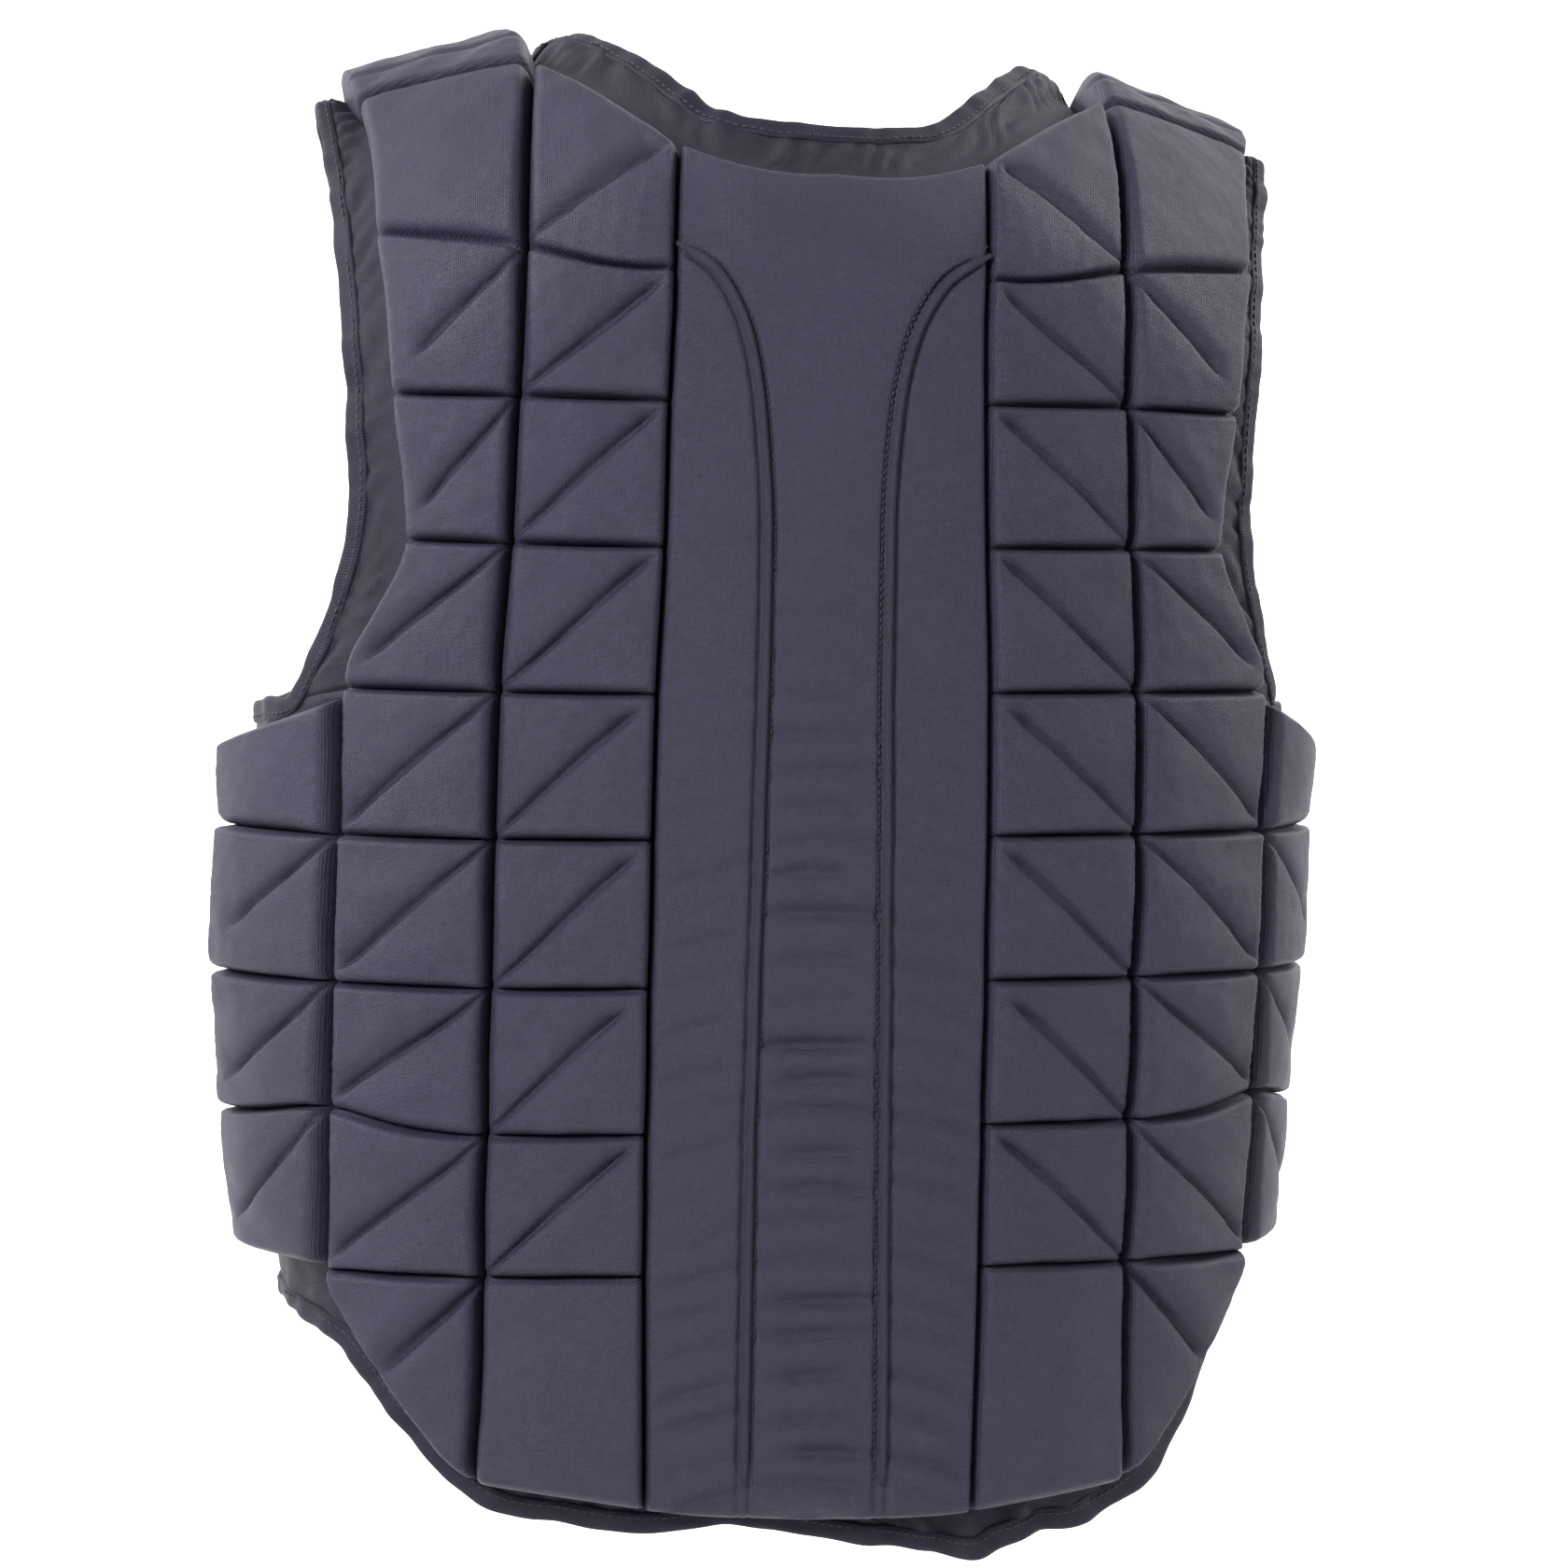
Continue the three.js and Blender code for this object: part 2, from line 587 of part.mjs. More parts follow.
// A column of blocks between two upright lines of the lattice, with a middle line of its own.
// starts marks the rows where a block begins; from is the corner where its creases begin.
// extra is a node added to the top edge, between the middle line and the outer one.
function column(pad, lines, starts, creases, from, extra) {
  const left = lines[0].map((p) => point(p.s + GAP / 2, p.q));
  const centre = lines[1];
  const right = lines[2].map((p) => point(p.s - GAP / 2, p.q));
  const tops = starts.map((flag, k) => (flag ? k : -1)).filter((k) => k >= 0);
  tops.forEach((k, count) => {
    const end = count + 1 < tops.length ? tops[count + 1] : left.length - 1;
    const loop = [{ p: left[k], tag: "innerTop" }, { p: centre[k] }];
    if (extra && k === 0) loop.push({ p: extra });
    loop.push({ p: right[k], tag: "outerTop" });
    for (let m = k + 1; m < end; m += 1) loop.push({ p: right[m] });
    loop.push({ p: right[end], tag: "outerBottom" }, { p: centre[end], tag: "middleBottom" });
    loop.push({ p: left[end], tag: "innerBottom" });
    for (let m = end - 1; m > k; m -= 1) loop.push({ p: left[m] });
    const tidy = loop.filter(({ p }, m) => {
      const next = loop[(m + 1) % loop.length].p;
      return Math.hypot(p.s - next.s, p.q - next.q) > 0.05;
    });
    const find = (tag) => tidy.findIndex((entry) => entry.tag === tag);
    const pinched = tidy.length < loop.length;
    const run = creases[count];
    let crease = null;
    const foot = find(pinched ? "middleBottom" : "outerBottom");
    if (run && from === "innerTop") crease = { from: 0, to: foot, run };
    if (run && from === "outerBottom") crease = { from: find("outerBottom"), to: 0, run };
    block(pad, tidy.map((entry) => entry.p), crease);
    for (let m = k; m < end; m += 1) {
      pad.inner([left[m], centre[m], centre[m + 1], left[m + 1]]);
      const added = extra && m === 0 ? [extra] : [];
      pad.inner([centre[m], ...added, right[m], right[m + 1], centre[m + 1]]);
    }
  });
  return pad;
}

// A smooth-topped panel over a grid of nodes, rounded all round; grid[row][column].
// A symmetric panel has the same grid on both sides of the midline.
function panel(pad, grid, low, top, puff, symmetric = false) {
  const rows = grid.length;
  const columns = grid[0].length;
  const rim = [];
  for (let c = 0; c < columns; c += 1) rim.push([0, c]);
  for (let r = 1; r < rows; r += 1) rim.push([r, columns - 1]);
  for (let c = columns - 2; c >= 0; c -= 1) rim.push([rows - 1, c]);
  for (let r = rows - 2; r > 0; r -= 1) rim.push([r, 0]);
  const loop = rim.map(([r, c]) => grid[r][c]);
  const round = Math.min(EDGE_ROUND, (top - low) * 1.2);
  const shoulder = inset(loop, round * 0.35);
  const crown = inset(loop, round);
  const middle = top - (top - low) * 0.32;
  ring(pad, loop, loop.map(() => low), shoulder, loop.map(() => middle));
  ring(pad, shoulder, loop.map(() => middle), crown, loop.map(() => top));
  const inside = grid.map((row) => [...row]);
  const level = grid.map((row) => row.map(() => top + puff));
  rim.forEach(([r, c], k) => {
    inside[r][c] = crown[k];
    level[r][c] = top;
  });
  for (let r = 0; r < rows - 1; r += 1) {
    for (let c = 0; c < columns - 1; c += 1) {
      const cell = [[r, c], [r, c + 1], [r + 1, c + 1], [r + 1, c]];
      pad.outer(cell.map(([i, j]) => inside[i][j]), cell.map(([i, j]) => level[i][j]));
      if (!symmetric || c >= (columns - 1) / 2) pad.inner(cell.map(([i, j]) => grid[i][j]));
    }
  }
  const flip = ([a, b, c]) => [mirror(a), mirror(c), mirror(b)];
  if (symmetric) pad.bottom.push(...pad.bottom.map(flip));
  return pad;
}

const join = (upper, lower, line) => [...upper[line], ...lower[line].slice(1)];
const foamRows = (upper, lower, line, from) => join(upper, lower, line).slice(from, -1);
const mirror = (p) => point(-p.s, p.q);

// The hem dips where the fabric ruffles, to one side of the middle.
const hemDip = (s) => HEM_DIP * Math.exp(-(((s - HEM_DIP_PLACE) / HEM_DIP_WIDTH) ** 2));

// Adds rounding points along a run of border nodes, so that the border curves.
function rounded(nodes) {
  return nodes.slice(0, -1).map((p, k) => {
    const before = nodes[Math.max(k - 1, 0)];
    const next = nodes[k + 1];
    const after = nodes[Math.min(k + 2, nodes.length - 1)];
    const count = Math.min(Math.round(Math.hypot(next.s - p.s, next.q - p.q) / BORDER_STEP), 3);
    const extra = [];
    for (let m = 1; m < count; m += 1) {
      const t = m / count;
      const curve = (a, b, c, d) =>
        0.5 * (2 * b + (c - a) * t + (2 * a - 5 * b + 4 * c - d) * t * t +
          (3 * b - a - 3 * c + d) * t ** 3);
      extra.push(point(curve(before.s, p.s, next.s, after.s), curve(before.q, p.q, next.q, after.q)));
    }
    return extra;
  });
}

// The polygons of one half of a shell, with its neck, armhole and hem borders.
function shellHalf(upper, lower, armLine, neckRow) {
  const neckNodes = upper.slice(0, 4).map((line) => line[neckRow]);
  for (let j = neckRow - 1; j >= 0; j -= 1) neckNodes.push(upper[3][j]);
  const armNodes = [...upper[armLine], ...lower.slice(armLine + 1).map((line) => line[0])];
  const hemNodes = lower.map((line) => line[line.length - 1]);
  const neckExtra = rounded([mirror(neckNodes[1]), ...neckNodes]).slice(1);
  const armExtra = rounded(armNodes);
  const hemExtra = rounded([mirror(hemNodes[1]), ...hemNodes]).slice(1);
  const polygons = [];
  for (let i = 0; i < armLine; i += 1) {
    for (let j = i < 3 ? neckRow : 0; j < 7; j += 1) {
      const cell = [upper[i][j]];
      if (j === neckRow && i < 3) cell.push(...neckExtra[i]);
      cell.push(upper[i + 1][j]);
      if (i === armLine - 1) cell.push(...armExtra[j]);
      cell.push(upper[i + 1][j + 1], upper[i][j + 1]);
      if (i === 3 && j < neckRow) cell.push(...neckExtra[2 + neckRow - j]);
      // The wide cells of the front strap have a middle line under the shoulder pad.
      const strap = neckRow > 0 && i === 4;
      const top = between(upper[4][j], upper[5][j], 0.5);
      const low = between(upper[4][j + 1], upper[5][j + 1], 0.5);
      if (strap && j < 2) {
        polygons.push([upper[4][j], top, low, upper[4][j + 1]]);
        polygons.push([top, upper[5][j], upper[5][j + 1], low]);
        continue;
      }
      if (strap && j === 2) cell.splice(1, 0, top);
      polygons.push(cell);
    }
  }
  const last = lower[0].length - 1;
  for (let i = 0; i < lower.length - 1; i += 1) {
    for (let j = 0; j < last; j += 1) {
      const cell = [lower[i][j]];
      if (j === 0 && i >= armLine) cell.push(...armExtra[7 + i - armLine]);
      cell.push(lower[i + 1][j], lower[i + 1][j + 1]);
      if (j === last - 1) cell.push(...[...hemExtra[i]].reverse());
      cell.push(lower[i][j + 1]);
      polygons.push(cell);
    }
  }
  const chain = (nodes, extra) => nodes.flatMap((p, k) => [p, ...(extra[k] || [])]);
  return {
    polygons,
    neck: chain(neckNodes, neckExtra),
    arm: chain(armNodes, armExtra),
    hem: chain(hemNodes, hemExtra),
  };
}

// Drops repeated corners, so that a pinched cell is a triangle.
function clean(cell) {
  return cell.filter((p, k) => {
    const next = cell[(k + 1) % cell.length];
    return Math.hypot(p.s - next.s, p.q - next.q) > 0.02;
  });
}

function shell(polygons) {
  const pad = new Pad(0);
  polygons.map(clean).filter((cell) => cell.length > 2).forEach((cell) => {
    pad.outer(cell, cell.map(() => SHELL_THICKNESS));
    pad.inner(cell);
  });
  return pad;
}

// Half-section of the binding tape: across the edge, and through the thickness, as shares.
const BINDING_SECTION = [
  { across: 0.0, through: -0.5 },
  { across: 0.0, through: 0.5 },
  { across: 0.55, through: 0.5 },
  { across: 1.0, through: 0.22 },
  { across: 1.0, through: -0.22 },
  { across: 0.55, through: -0.5 },
];

// Sweeps a section along stations; each holds a corner function from a section entry to a point.
function sweep(stations, section, closed) {
  const positions = [];
  const rings = stations.map((at) => section.map((entry) => at(entry)));
  const sides = section.length;
  const put = (...points) => points.forEach((v) => positions.push(v.x, v.y, v.z));
  const steps = closed ? rings.length : rings.length - 1;
  for (let k = 0; k < steps; k += 1) {
    const a = rings[k];
    const b = rings[(k + 1) % rings.length];
    for (let m = 0; m < sides; m += 1) {
      const n = (m + 1) % sides;
      put(a[m], a[n], b[n]);
      put(a[m], b[n], b[m]);
    }
  }
  if (!closed) {
    const first = rings[0];
    const last = rings[rings.length - 1];
    for (let m = 1; m < sides - 1; m += 1) {
      put(first[0], first[m + 1], first[m]);
      put(last[0], last[m], last[m + 1]);
    }
  }
  const made = new THREE.BufferGeometry();
  made.setAttribute("position", new THREE.Float32BufferAttribute(positions, 3));
  made.computeVertexNormals();
  return outwards(made);
}

// Turns a closed geometry inside out when its faces point in.
function outwards(geometry) {
  const array = geometry.getAttribute("position").array;
  let volume = 0;
  const v = (k) => new THREE.Vector3(array[k], array[k + 1], array[k + 2]);
  for (let k = 0; k < array.length; k += 9) volume += v(k).dot(v(k + 3).cross(v(k + 6)));
  if (volume > 0) return geometry;
  for (let k = 0; k < array.length; k += 9) {
    for (let m = 0; m < 3; m += 1) {
      const held = array[k + 3 + m];
      array[k + 3 + m] = array[k + 6 + m];
      array[k + 6 + m] = held;
    }
  }
  geometry.computeVertexNormals();
  return geometry;
}

// Stations of a binding along border nodes; ends gives the way out of the fabric at both ends.
function bindingStations(nodes, towards, ends, sign) {
  return nodes.map((p, k) => {
    const before = nodes[Math.max(k - 1, 0)];
    const after = nodes[Math.min(k + 1, nodes.length - 1)];
    const along = unit(before, after);
    let out = { s: -along.q, q: along.s };
    if (out.s * towards.s + out.q * towards.q < 0) out = { s: along.q, q: -along.s };
    if (k === 0 && ends[0]) out = ends[0];
    if (k === nodes.length - 1 && ends[1]) out = ends[1];
    return (entry) => {
      const d = SEAM_GAP + entry.across * BINDING_WIDTH;
      const w = SHELL_THICKNESS / 2 + entry.through * BINDING_THICKNESS;
      const v = place(p.s + out.s * d, p.q + out.q * d, w);
      return sign < 0 ? new THREE.Vector3(-v.x, v.y, v.z) : v;
    };
  });
}

const backHalf = shellHalf(BACK_UP, BACK_LOW, 7, 0);
const frontHalf = shellHalf(FRONT_UP, FRONT_LOW, 6, 3);
const nodeKey = (p) => p.s.toFixed(2) + "," + p.q.toFixed(2);
const hemKeys = new Set([...backHalf.hem, ...backHalf.hem.map(mirror)].map(nodeKey));
const dipped = (p) => (hemKeys.has(nodeKey(p)) ? point(p.s, p.q + hemDip(p.s)) : p);

const FABRIC = { color: 0x4a4856, roughness: 0.78, metalness: 0 };
const TAPE = { color: 0x34323e, roughness: 0.7, metalness: 0 };
const model = new THREE.Group();
function add(name, geometry, look) {
  const mesh = new THREE.Mesh(geometry, new THREE.MeshStandardMaterial(look));
  mesh.name = name;
  model.add(mesh);
}
function addPair(name, pad, look) {
  add(name.replace("SIDE", "right"), pad.geometry(false), look);
  add(name.replace("SIDE", "left"), pad.geometry(true), look);
}

// Shells
const backShell = shell(backHalf.polygons);
backShell.mirrorFaces();
backShell.moved = dipped;
add("back_shell", backShell.geometry(false), FABRIC);
addPair("front_shell_SIDE", shell(frontHalf.polygons), FABRIC);

// Back columns of blocks
const backLine = (line, from) => foamRows(BACK_UP, BACK_LOW, line, from);
const BACK_BLOCKS = [true, false, true, true, true, true, true, true, true, true, false];
const foamColumn = (lines, starts, creases, from, lift = 0, extra = null) =>
  column(new Pad(FOAM_FLOOR + lift), lines, starts, creases, from, extra);
const backInner = [2, 3, 4].map((line) => backLine(line, 2));
const backOuter = [4, 5, 6].map((line) => backLine(line, 2));
addPair("back_SIDE_inner_column",
  foamColumn(backInner, BACK_BLOCKS, BACK_CREASES.inner, "outerBottom"), FABRIC);
addPair("back_SIDE_outer_column",
  foamColumn(backOuter, BACK_BLOCKS, BACK_CREASES.outer, "innerTop"), FABRIC);
const lowered = (nodes, by) => nodes.map((p, k) => (k === 0 ? point(p.s, p.q + by) : p));
const backSide = [6, 7, 8].map((line, k) =>
  lowered(BACK_LOW[line].slice(0, 5), k === 0 ? SIDE_TOP_MARGIN * 0.3 : SIDE_TOP_MARGIN));
addPair("back_SIDE_side_column",
  foamColumn(backSide, [true, true, true, true, false], BACK_CREASES.side, "innerTop", SIDE_LIFT), FABRIC);

// Spine panel
const spineHalf = [0, 1, 2].map((line) => backLine(line, 2));
const spineRow = (k) => {
  const edge = point(spineHalf[2][k].s - GAP / 2, spineHalf[2][k].q);
  return [mirror(edge), mirror(spineHalf[1][k]), spineHalf[0][k], spineHalf[1][k], edge];
};
const spineRows = spineHalf[0].map((p, k) => spineRow(k));
const spine = panel(new Pad(FOAM_FLOOR), spineRows, GROOVE_LEVEL, SPINE_TOP, PUFF * 0.3, true);
add("back_spine_panel", spine.geometry(false), FABRIC);

// Piping on the spine panel
const pipingSection = [0, 1, 2, 3, 4, 5].map((k) => ({ turn: (k / 6) * Math.PI * 2 }));
function piping(sign) {
  const nodes = PIPING.map((row) => {
    const s = (row.across * SPINE_WIDTH) / 2;
    return point(s, wayTo(s, -row.down * BACK_LENGTH, 1));
  });
  const stations = nodes.map((p, k) => {
    const along = unit(nodes[Math.max(k - 1, 0)], nodes[Math.min(k + 1, nodes.length - 1)]);
    return (entry) => {
      const d = (Math.cos(entry.turn) * PIPING_DIAMETER) / 2;
      const rise = (1 + Math.sin(entry.turn)) * PIPING_DIAMETER;
      const w = SPINE_TOP + PIPING_LIFT + rise / 2;
      const v = place(p.s - along.q * d, p.q + along.s * d, w);
      return new THREE.Vector3(v.x * sign, v.y, v.z);
    };
  });
  return sweep(stations, pipingSection, false);
}
add("spine_piping_right", piping(1), TAPE);
add("spine_piping_left", piping(-1), TAPE);

// Shoulder pads, folded over the ridge
const padStart = (nodes, by) => {
  const t = PAD_INSET / (nodes[1].s - nodes[0].s);
  const p = between(nodes[0], nodes[1], t);
  return [point(p.s, p.q + by), ...nodes.slice(1).map((n) => point(n.s, n.q + by))];
};
const padLine = (lattice, foam, row, by) => {
  const nodes = [3, 4, 5, 6].filter((i) => i <= foam).map((i) => lattice[i][row]);
  if (nodes.length === 3) nodes.splice(2, 0, between(nodes[1], nodes[2], 0.5));
  return padStart(nodes, by);
};
const ridgeEnds = padStart([3, 4, 5, 6].map((i) => point(BACK_UP[i][0].s, 0)), 0);
const ridgeLine = [0, 0.25, 0.6, 1].map((t) => between(ridgeEnds[0], ridgeEnds[3], t));
const padGrid = [
  padLine(FRONT_UP, 5, 2, PAD_GAP),
  padLine(FRONT_UP, 5, 1, 0),
  ridgeLine,
  padLine(BACK_UP, 6, 1, 0),
  padLine(BACK_UP, 6, 2, -PAD_GAP),
];
const shoulderPad = panel(new Pad(FOAM_FLOOR + PAD_LIFT), padGrid, GROOVE_LEVEL, FOAM_TOP, PUFF * 0.5);
addPair("shoulder_pad_SIDE", shoulderPad, FABRIC);

// Front columns of blocks
const frontLine = (line, from) => foamRows(FRONT_UP, FRONT_LOW, line, from);
const FRONT_BLOCKS = [true, false, false, true, true, true, true, true, true, false];
const FRONT_INNER_BLOCKS = [true, true, true, true, true, true, true, false];
const frontInner = [1, 2, 3].map((line) => frontLine(line, 4));
addPair("front_SIDE_inner_column",
  foamColumn(frontInner, FRONT_INNER_BLOCKS, FRONT_CREASES.inner, "outerBottom"), FABRIC);
const frontOuter = [3, 4, 5].map((line) => frontLine(line, 2));
frontOuter[0] = frontOuter[0].map((p, k) => (k < 2 ? point(p.s + NECK_MARGIN, p.q) : p));
addPair("front_SIDE_outer_column",
  foamColumn(frontOuter, FRONT_BLOCKS, FRONT_CREASES.outer, "innerTop", SIDE_LIFT,
    between(FRONT_UP[4][2], FRONT_UP[5][2], 0.5)), FABRIC);
const frontSide = [5, 6, 7].map((line, k) =>
  lowered(FRONT_LOW[line].slice(0, -1), k === 0 ? -SIDE_TOP_MARGIN * 0.3 : -SIDE_TOP_MARGIN));
const FRONT_SIDE_BLOCKS = [true, true, true, true, false];
addPair("front_SIDE_side_column",
  foamColumn(frontSide, FRONT_SIDE_BLOCKS, FRONT_CREASES.side, "innerTop", SIDE_LIFT), FABRIC);

// Closing placket down the middle of the front
const placketEdge = join(FRONT_UP, FRONT_LOW, 1).slice(3);
const placketRows = join(FRONT_UP, FRONT_LOW, 0).slice(3).map((p, k) => {
  const edge = placketEdge[k];
  const right = point(edge.s - GAP, edge.q);
  const lower = k ? 0 : -PLACKET_DROP;
  return [mirror(right), point(0, p.q), right].map((n) => point(n.s, n.q + lower));
});
const placket = panel(new Pad(FOAM_FLOOR), placketRows, FOAM_FLOOR + PLACKET_THICKNESS * 0.4,
  FOAM_FLOOR + PLACKET_THICKNESS, 0, true);
add("front_placket", placket.geometry(false), FABRIC);

// Binding tape
const up = { s: 0, q: -1 };
const down = { s: 0, q: 1 };
const outer = { s: 1, q: 0 };
const innerWay = { s: -1, q: 0 };
function neckBinding(sign) {
  const back = bindingStations(backHalf.neck, { s: -0.5, q: -1 }, [up, innerWay], sign);
  const front = bindingStations(frontHalf.neck, { s: -1, q: 0.6 }, [down, innerWay], sign);
  return [...back.slice(0, -1), ...front.reverse()];
}
const neckRight = neckBinding(1);
const neckLeft = neckBinding(-1);
add("neck_binding", sweep([...neckLeft.reverse(), ...neckRight.slice(1)], BINDING_SECTION, false), TAPE);
for (const [name, sign] of [["right", 1], ["left", -1]]) {
  const back = bindingStations(backHalf.arm, { s: 1, q: -1 }, [outer, up], sign);
  const front = bindingStations(frontHalf.arm, { s: 1, q: 1 }, [outer, down], sign);
  const loop = [...back, ...front.reverse().slice(1, -1)];
  add("armhole_binding_" + name, sweep(loop, BINDING_SECTION, true), TAPE);
}
const hemBack = [...backHalf.hem.slice(1).reverse().map(mirror), ...backHalf.hem].map(dipped);
const frontHemOut = (sign) => bindingStations(frontHalf.hem, { s: 0, q: -1 }, [up, up], sign);
const hemStations = [
  ...frontHemOut(-1).slice(0, -1),
  ...bindingStations(hemBack, { s: 0, q: 1 }, [down, down], 1),
  ...frontHemOut(1).reverse().slice(1),
];
add("hem_binding", sweep(hemStations, BINDING_SECTION, false), TAPE);

export default model;
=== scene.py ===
"""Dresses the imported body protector: foam columns, spine panel, cloth shells, tapes, stitches and studio."""
import logging
import math
from dataclasses import dataclass, field
from enum import Enum
from typing import Sequence

import bpy
import numpy as np
from mathutils import Matrix, Vector

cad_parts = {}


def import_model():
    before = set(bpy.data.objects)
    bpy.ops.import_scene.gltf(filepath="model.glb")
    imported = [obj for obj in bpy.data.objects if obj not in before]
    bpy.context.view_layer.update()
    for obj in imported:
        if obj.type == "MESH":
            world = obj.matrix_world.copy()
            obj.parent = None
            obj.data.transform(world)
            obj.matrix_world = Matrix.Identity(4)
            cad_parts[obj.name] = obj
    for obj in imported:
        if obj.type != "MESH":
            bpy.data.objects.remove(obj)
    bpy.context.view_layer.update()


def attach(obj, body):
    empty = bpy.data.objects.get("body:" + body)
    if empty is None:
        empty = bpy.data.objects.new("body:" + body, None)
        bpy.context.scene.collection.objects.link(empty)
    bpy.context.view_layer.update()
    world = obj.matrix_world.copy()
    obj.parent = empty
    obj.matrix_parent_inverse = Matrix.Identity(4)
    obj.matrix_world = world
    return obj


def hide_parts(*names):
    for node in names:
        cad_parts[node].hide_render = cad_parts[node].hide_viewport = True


LOG = logging.getLogger("body_protector")
MM = 0.001
Node = tuple[float, float]


class Side(Enum):
    """The wearer's side, as the sign of X seen from behind."""

    RIGHT = 1
    LEFT = -1


class Face(Enum):
    """Back or front of the garment, as the sign of the way over the shoulder."""

    BACK = 1
    FRONT = -1


class CreaseStart(Enum):
    """The corner of a block where its diagonal crease starts."""

    INNER_TOP = "inner top"
    OUTER_BOTTOM = "outer bottom"


# ---------------------------------------------------------------- small maths


def ease(x: np.ndarray) -> np.ndarray:
    """Smooth step from 0 to 1 over 0 to 1."""
    t = np.clip(x, 0, 1)
    return t * t * (3 - 2 * t)


def rise(d: np.ndarray, radius: float) -> np.ndarray:
    """Quarter-round rise from an edge: 0 at the edge, 1 from radius inwards."""
    t = 1 - np.clip(d / radius, 0, 1)
    return np.sqrt(np.clip(1 - t ** 2.3, 0, 1))


@dataclass
class Ripple:
    """Smooth seeded noise over the cloth, as a sum of waves in many directions."""

    seed: int
    length: float
    waves: int = 7

    def __call__(self, s: np.ndarray, q: np.ndarray) -> np.ndarray:
        """Noise of about unit size at the given ways."""
        rng = np.random.default_rng(self.seed)
        total = np.zeros(np.broadcast(s, q).shape)
        for _ in range(self.waves):
            turn = rng.uniform(0, math.pi)
            size = self.length * rng.uniform(0.7, 1.45)
            phase = rng.uniform(0, 2 * math.pi)
            total = total + np.sin((s * math.cos(turn) + q * math.sin(turn)) * 2 * math.pi / size + phase)
        return total / math.sqrt(self.waves)


def hermite(values: Sequence[float], t: np.ndarray) -> np.ndarray:
    """Shape-keeping smooth curve through values at 0, 1, 2, ...

    Args:
        values: one value per whole number.
        t: where to read it.
    Returns:
        The curve's values.
    """
    y = np.asarray(values, float)
    step = np.diff(y)
    slope = np.zeros(len(y))
    slope[0], slope[-1] = step[0], step[-1]
    for k in range(1, len(y) - 1):
        if step[k - 1] * step[k] > 0:
            slope[k] = 2 * step[k - 1] * step[k] / (step[k - 1] + step[k])
    k = np.clip(t.astype(int), 0, len(y) - 2)
    f = t - k
    return (y[k] * (2 * f ** 3 - 3 * f ** 2 + 1) + y[k + 1] * (3 * f ** 2 - 2 * f ** 3)
            + slope[k] * (f ** 3 - 2 * f ** 2 + f) + slope[k + 1] * (f ** 3 - f ** 2))


def run_along(x: np.ndarray, y: np.ndarray) -> np.ndarray:
    """Length along a line of points, from 0 at its first."""
    return np.concatenate([[0.0], np.cumsum(np.hypot(np.diff(x), np.diff(y)))])


def spaced(x: np.ndarray, y: np.ndarray, step: float, fewest: int = 0) -> tuple[np.ndarray, np.ndarray]:
    """Reads a line of points again at even spaces.

    Args:
        x: first coordinate of each point.
        y: second coordinate of each point.
        step: space between the new points.
        fewest: least number of new points.
    Returns:
        Both coordinates of the new points.
    """
    run = run_along(x, y)
    at = np.linspace(0, run[-1], max(int(run[-1] / step), fewest))
    return np.interp(at, run, x), np.interp(at, run, y)


def between(curves: Sequence[tuple[np.ndarray, np.ndarray]], u: np.ndarray) -> tuple[np.ndarray, np.ndarray]:
    """A grid bent through three lines.

    Args:
        curves: ways of the near, the middle and the far line.
        u: shares across, 0 at the near line and 1 at the far one.
    Returns:
        Ways round and ways over the shoulder, one row per point of the lines.
    """
    weights = [2 * (u - 0.5) * (u - 1), 4 * u * (1 - u), 2 * u * (u - 0.5)]
    s, q = (sum(np.outer(curve[k], w) for curve, w in zip(curves, weights)) for k in (0, 1))
    return s, q


def smooth_grid(values: Sequence[Sequence[float]], down: np.ndarray, across: np.ndarray,
                from_middle: bool = False) -> np.ndarray:
    """A smooth grid through lines of values.

    Args:
        values: one list per line.
        down: where to read along each line.
        across: where to read from line to line.
        from_middle: whether the first line is the midline, which every row crosses level.
    Returns:
        The grid, one row per place down.
    """
    lines = np.stack([hermite(line, down) for line in values])
    if from_middle:
        lines, across = np.concatenate([lines[1:2], lines]), across + 1
    return np.stack([hermite(lines[:, r], across) for r in range(len(down))])


# ---------------------------------------------------------------- the body form


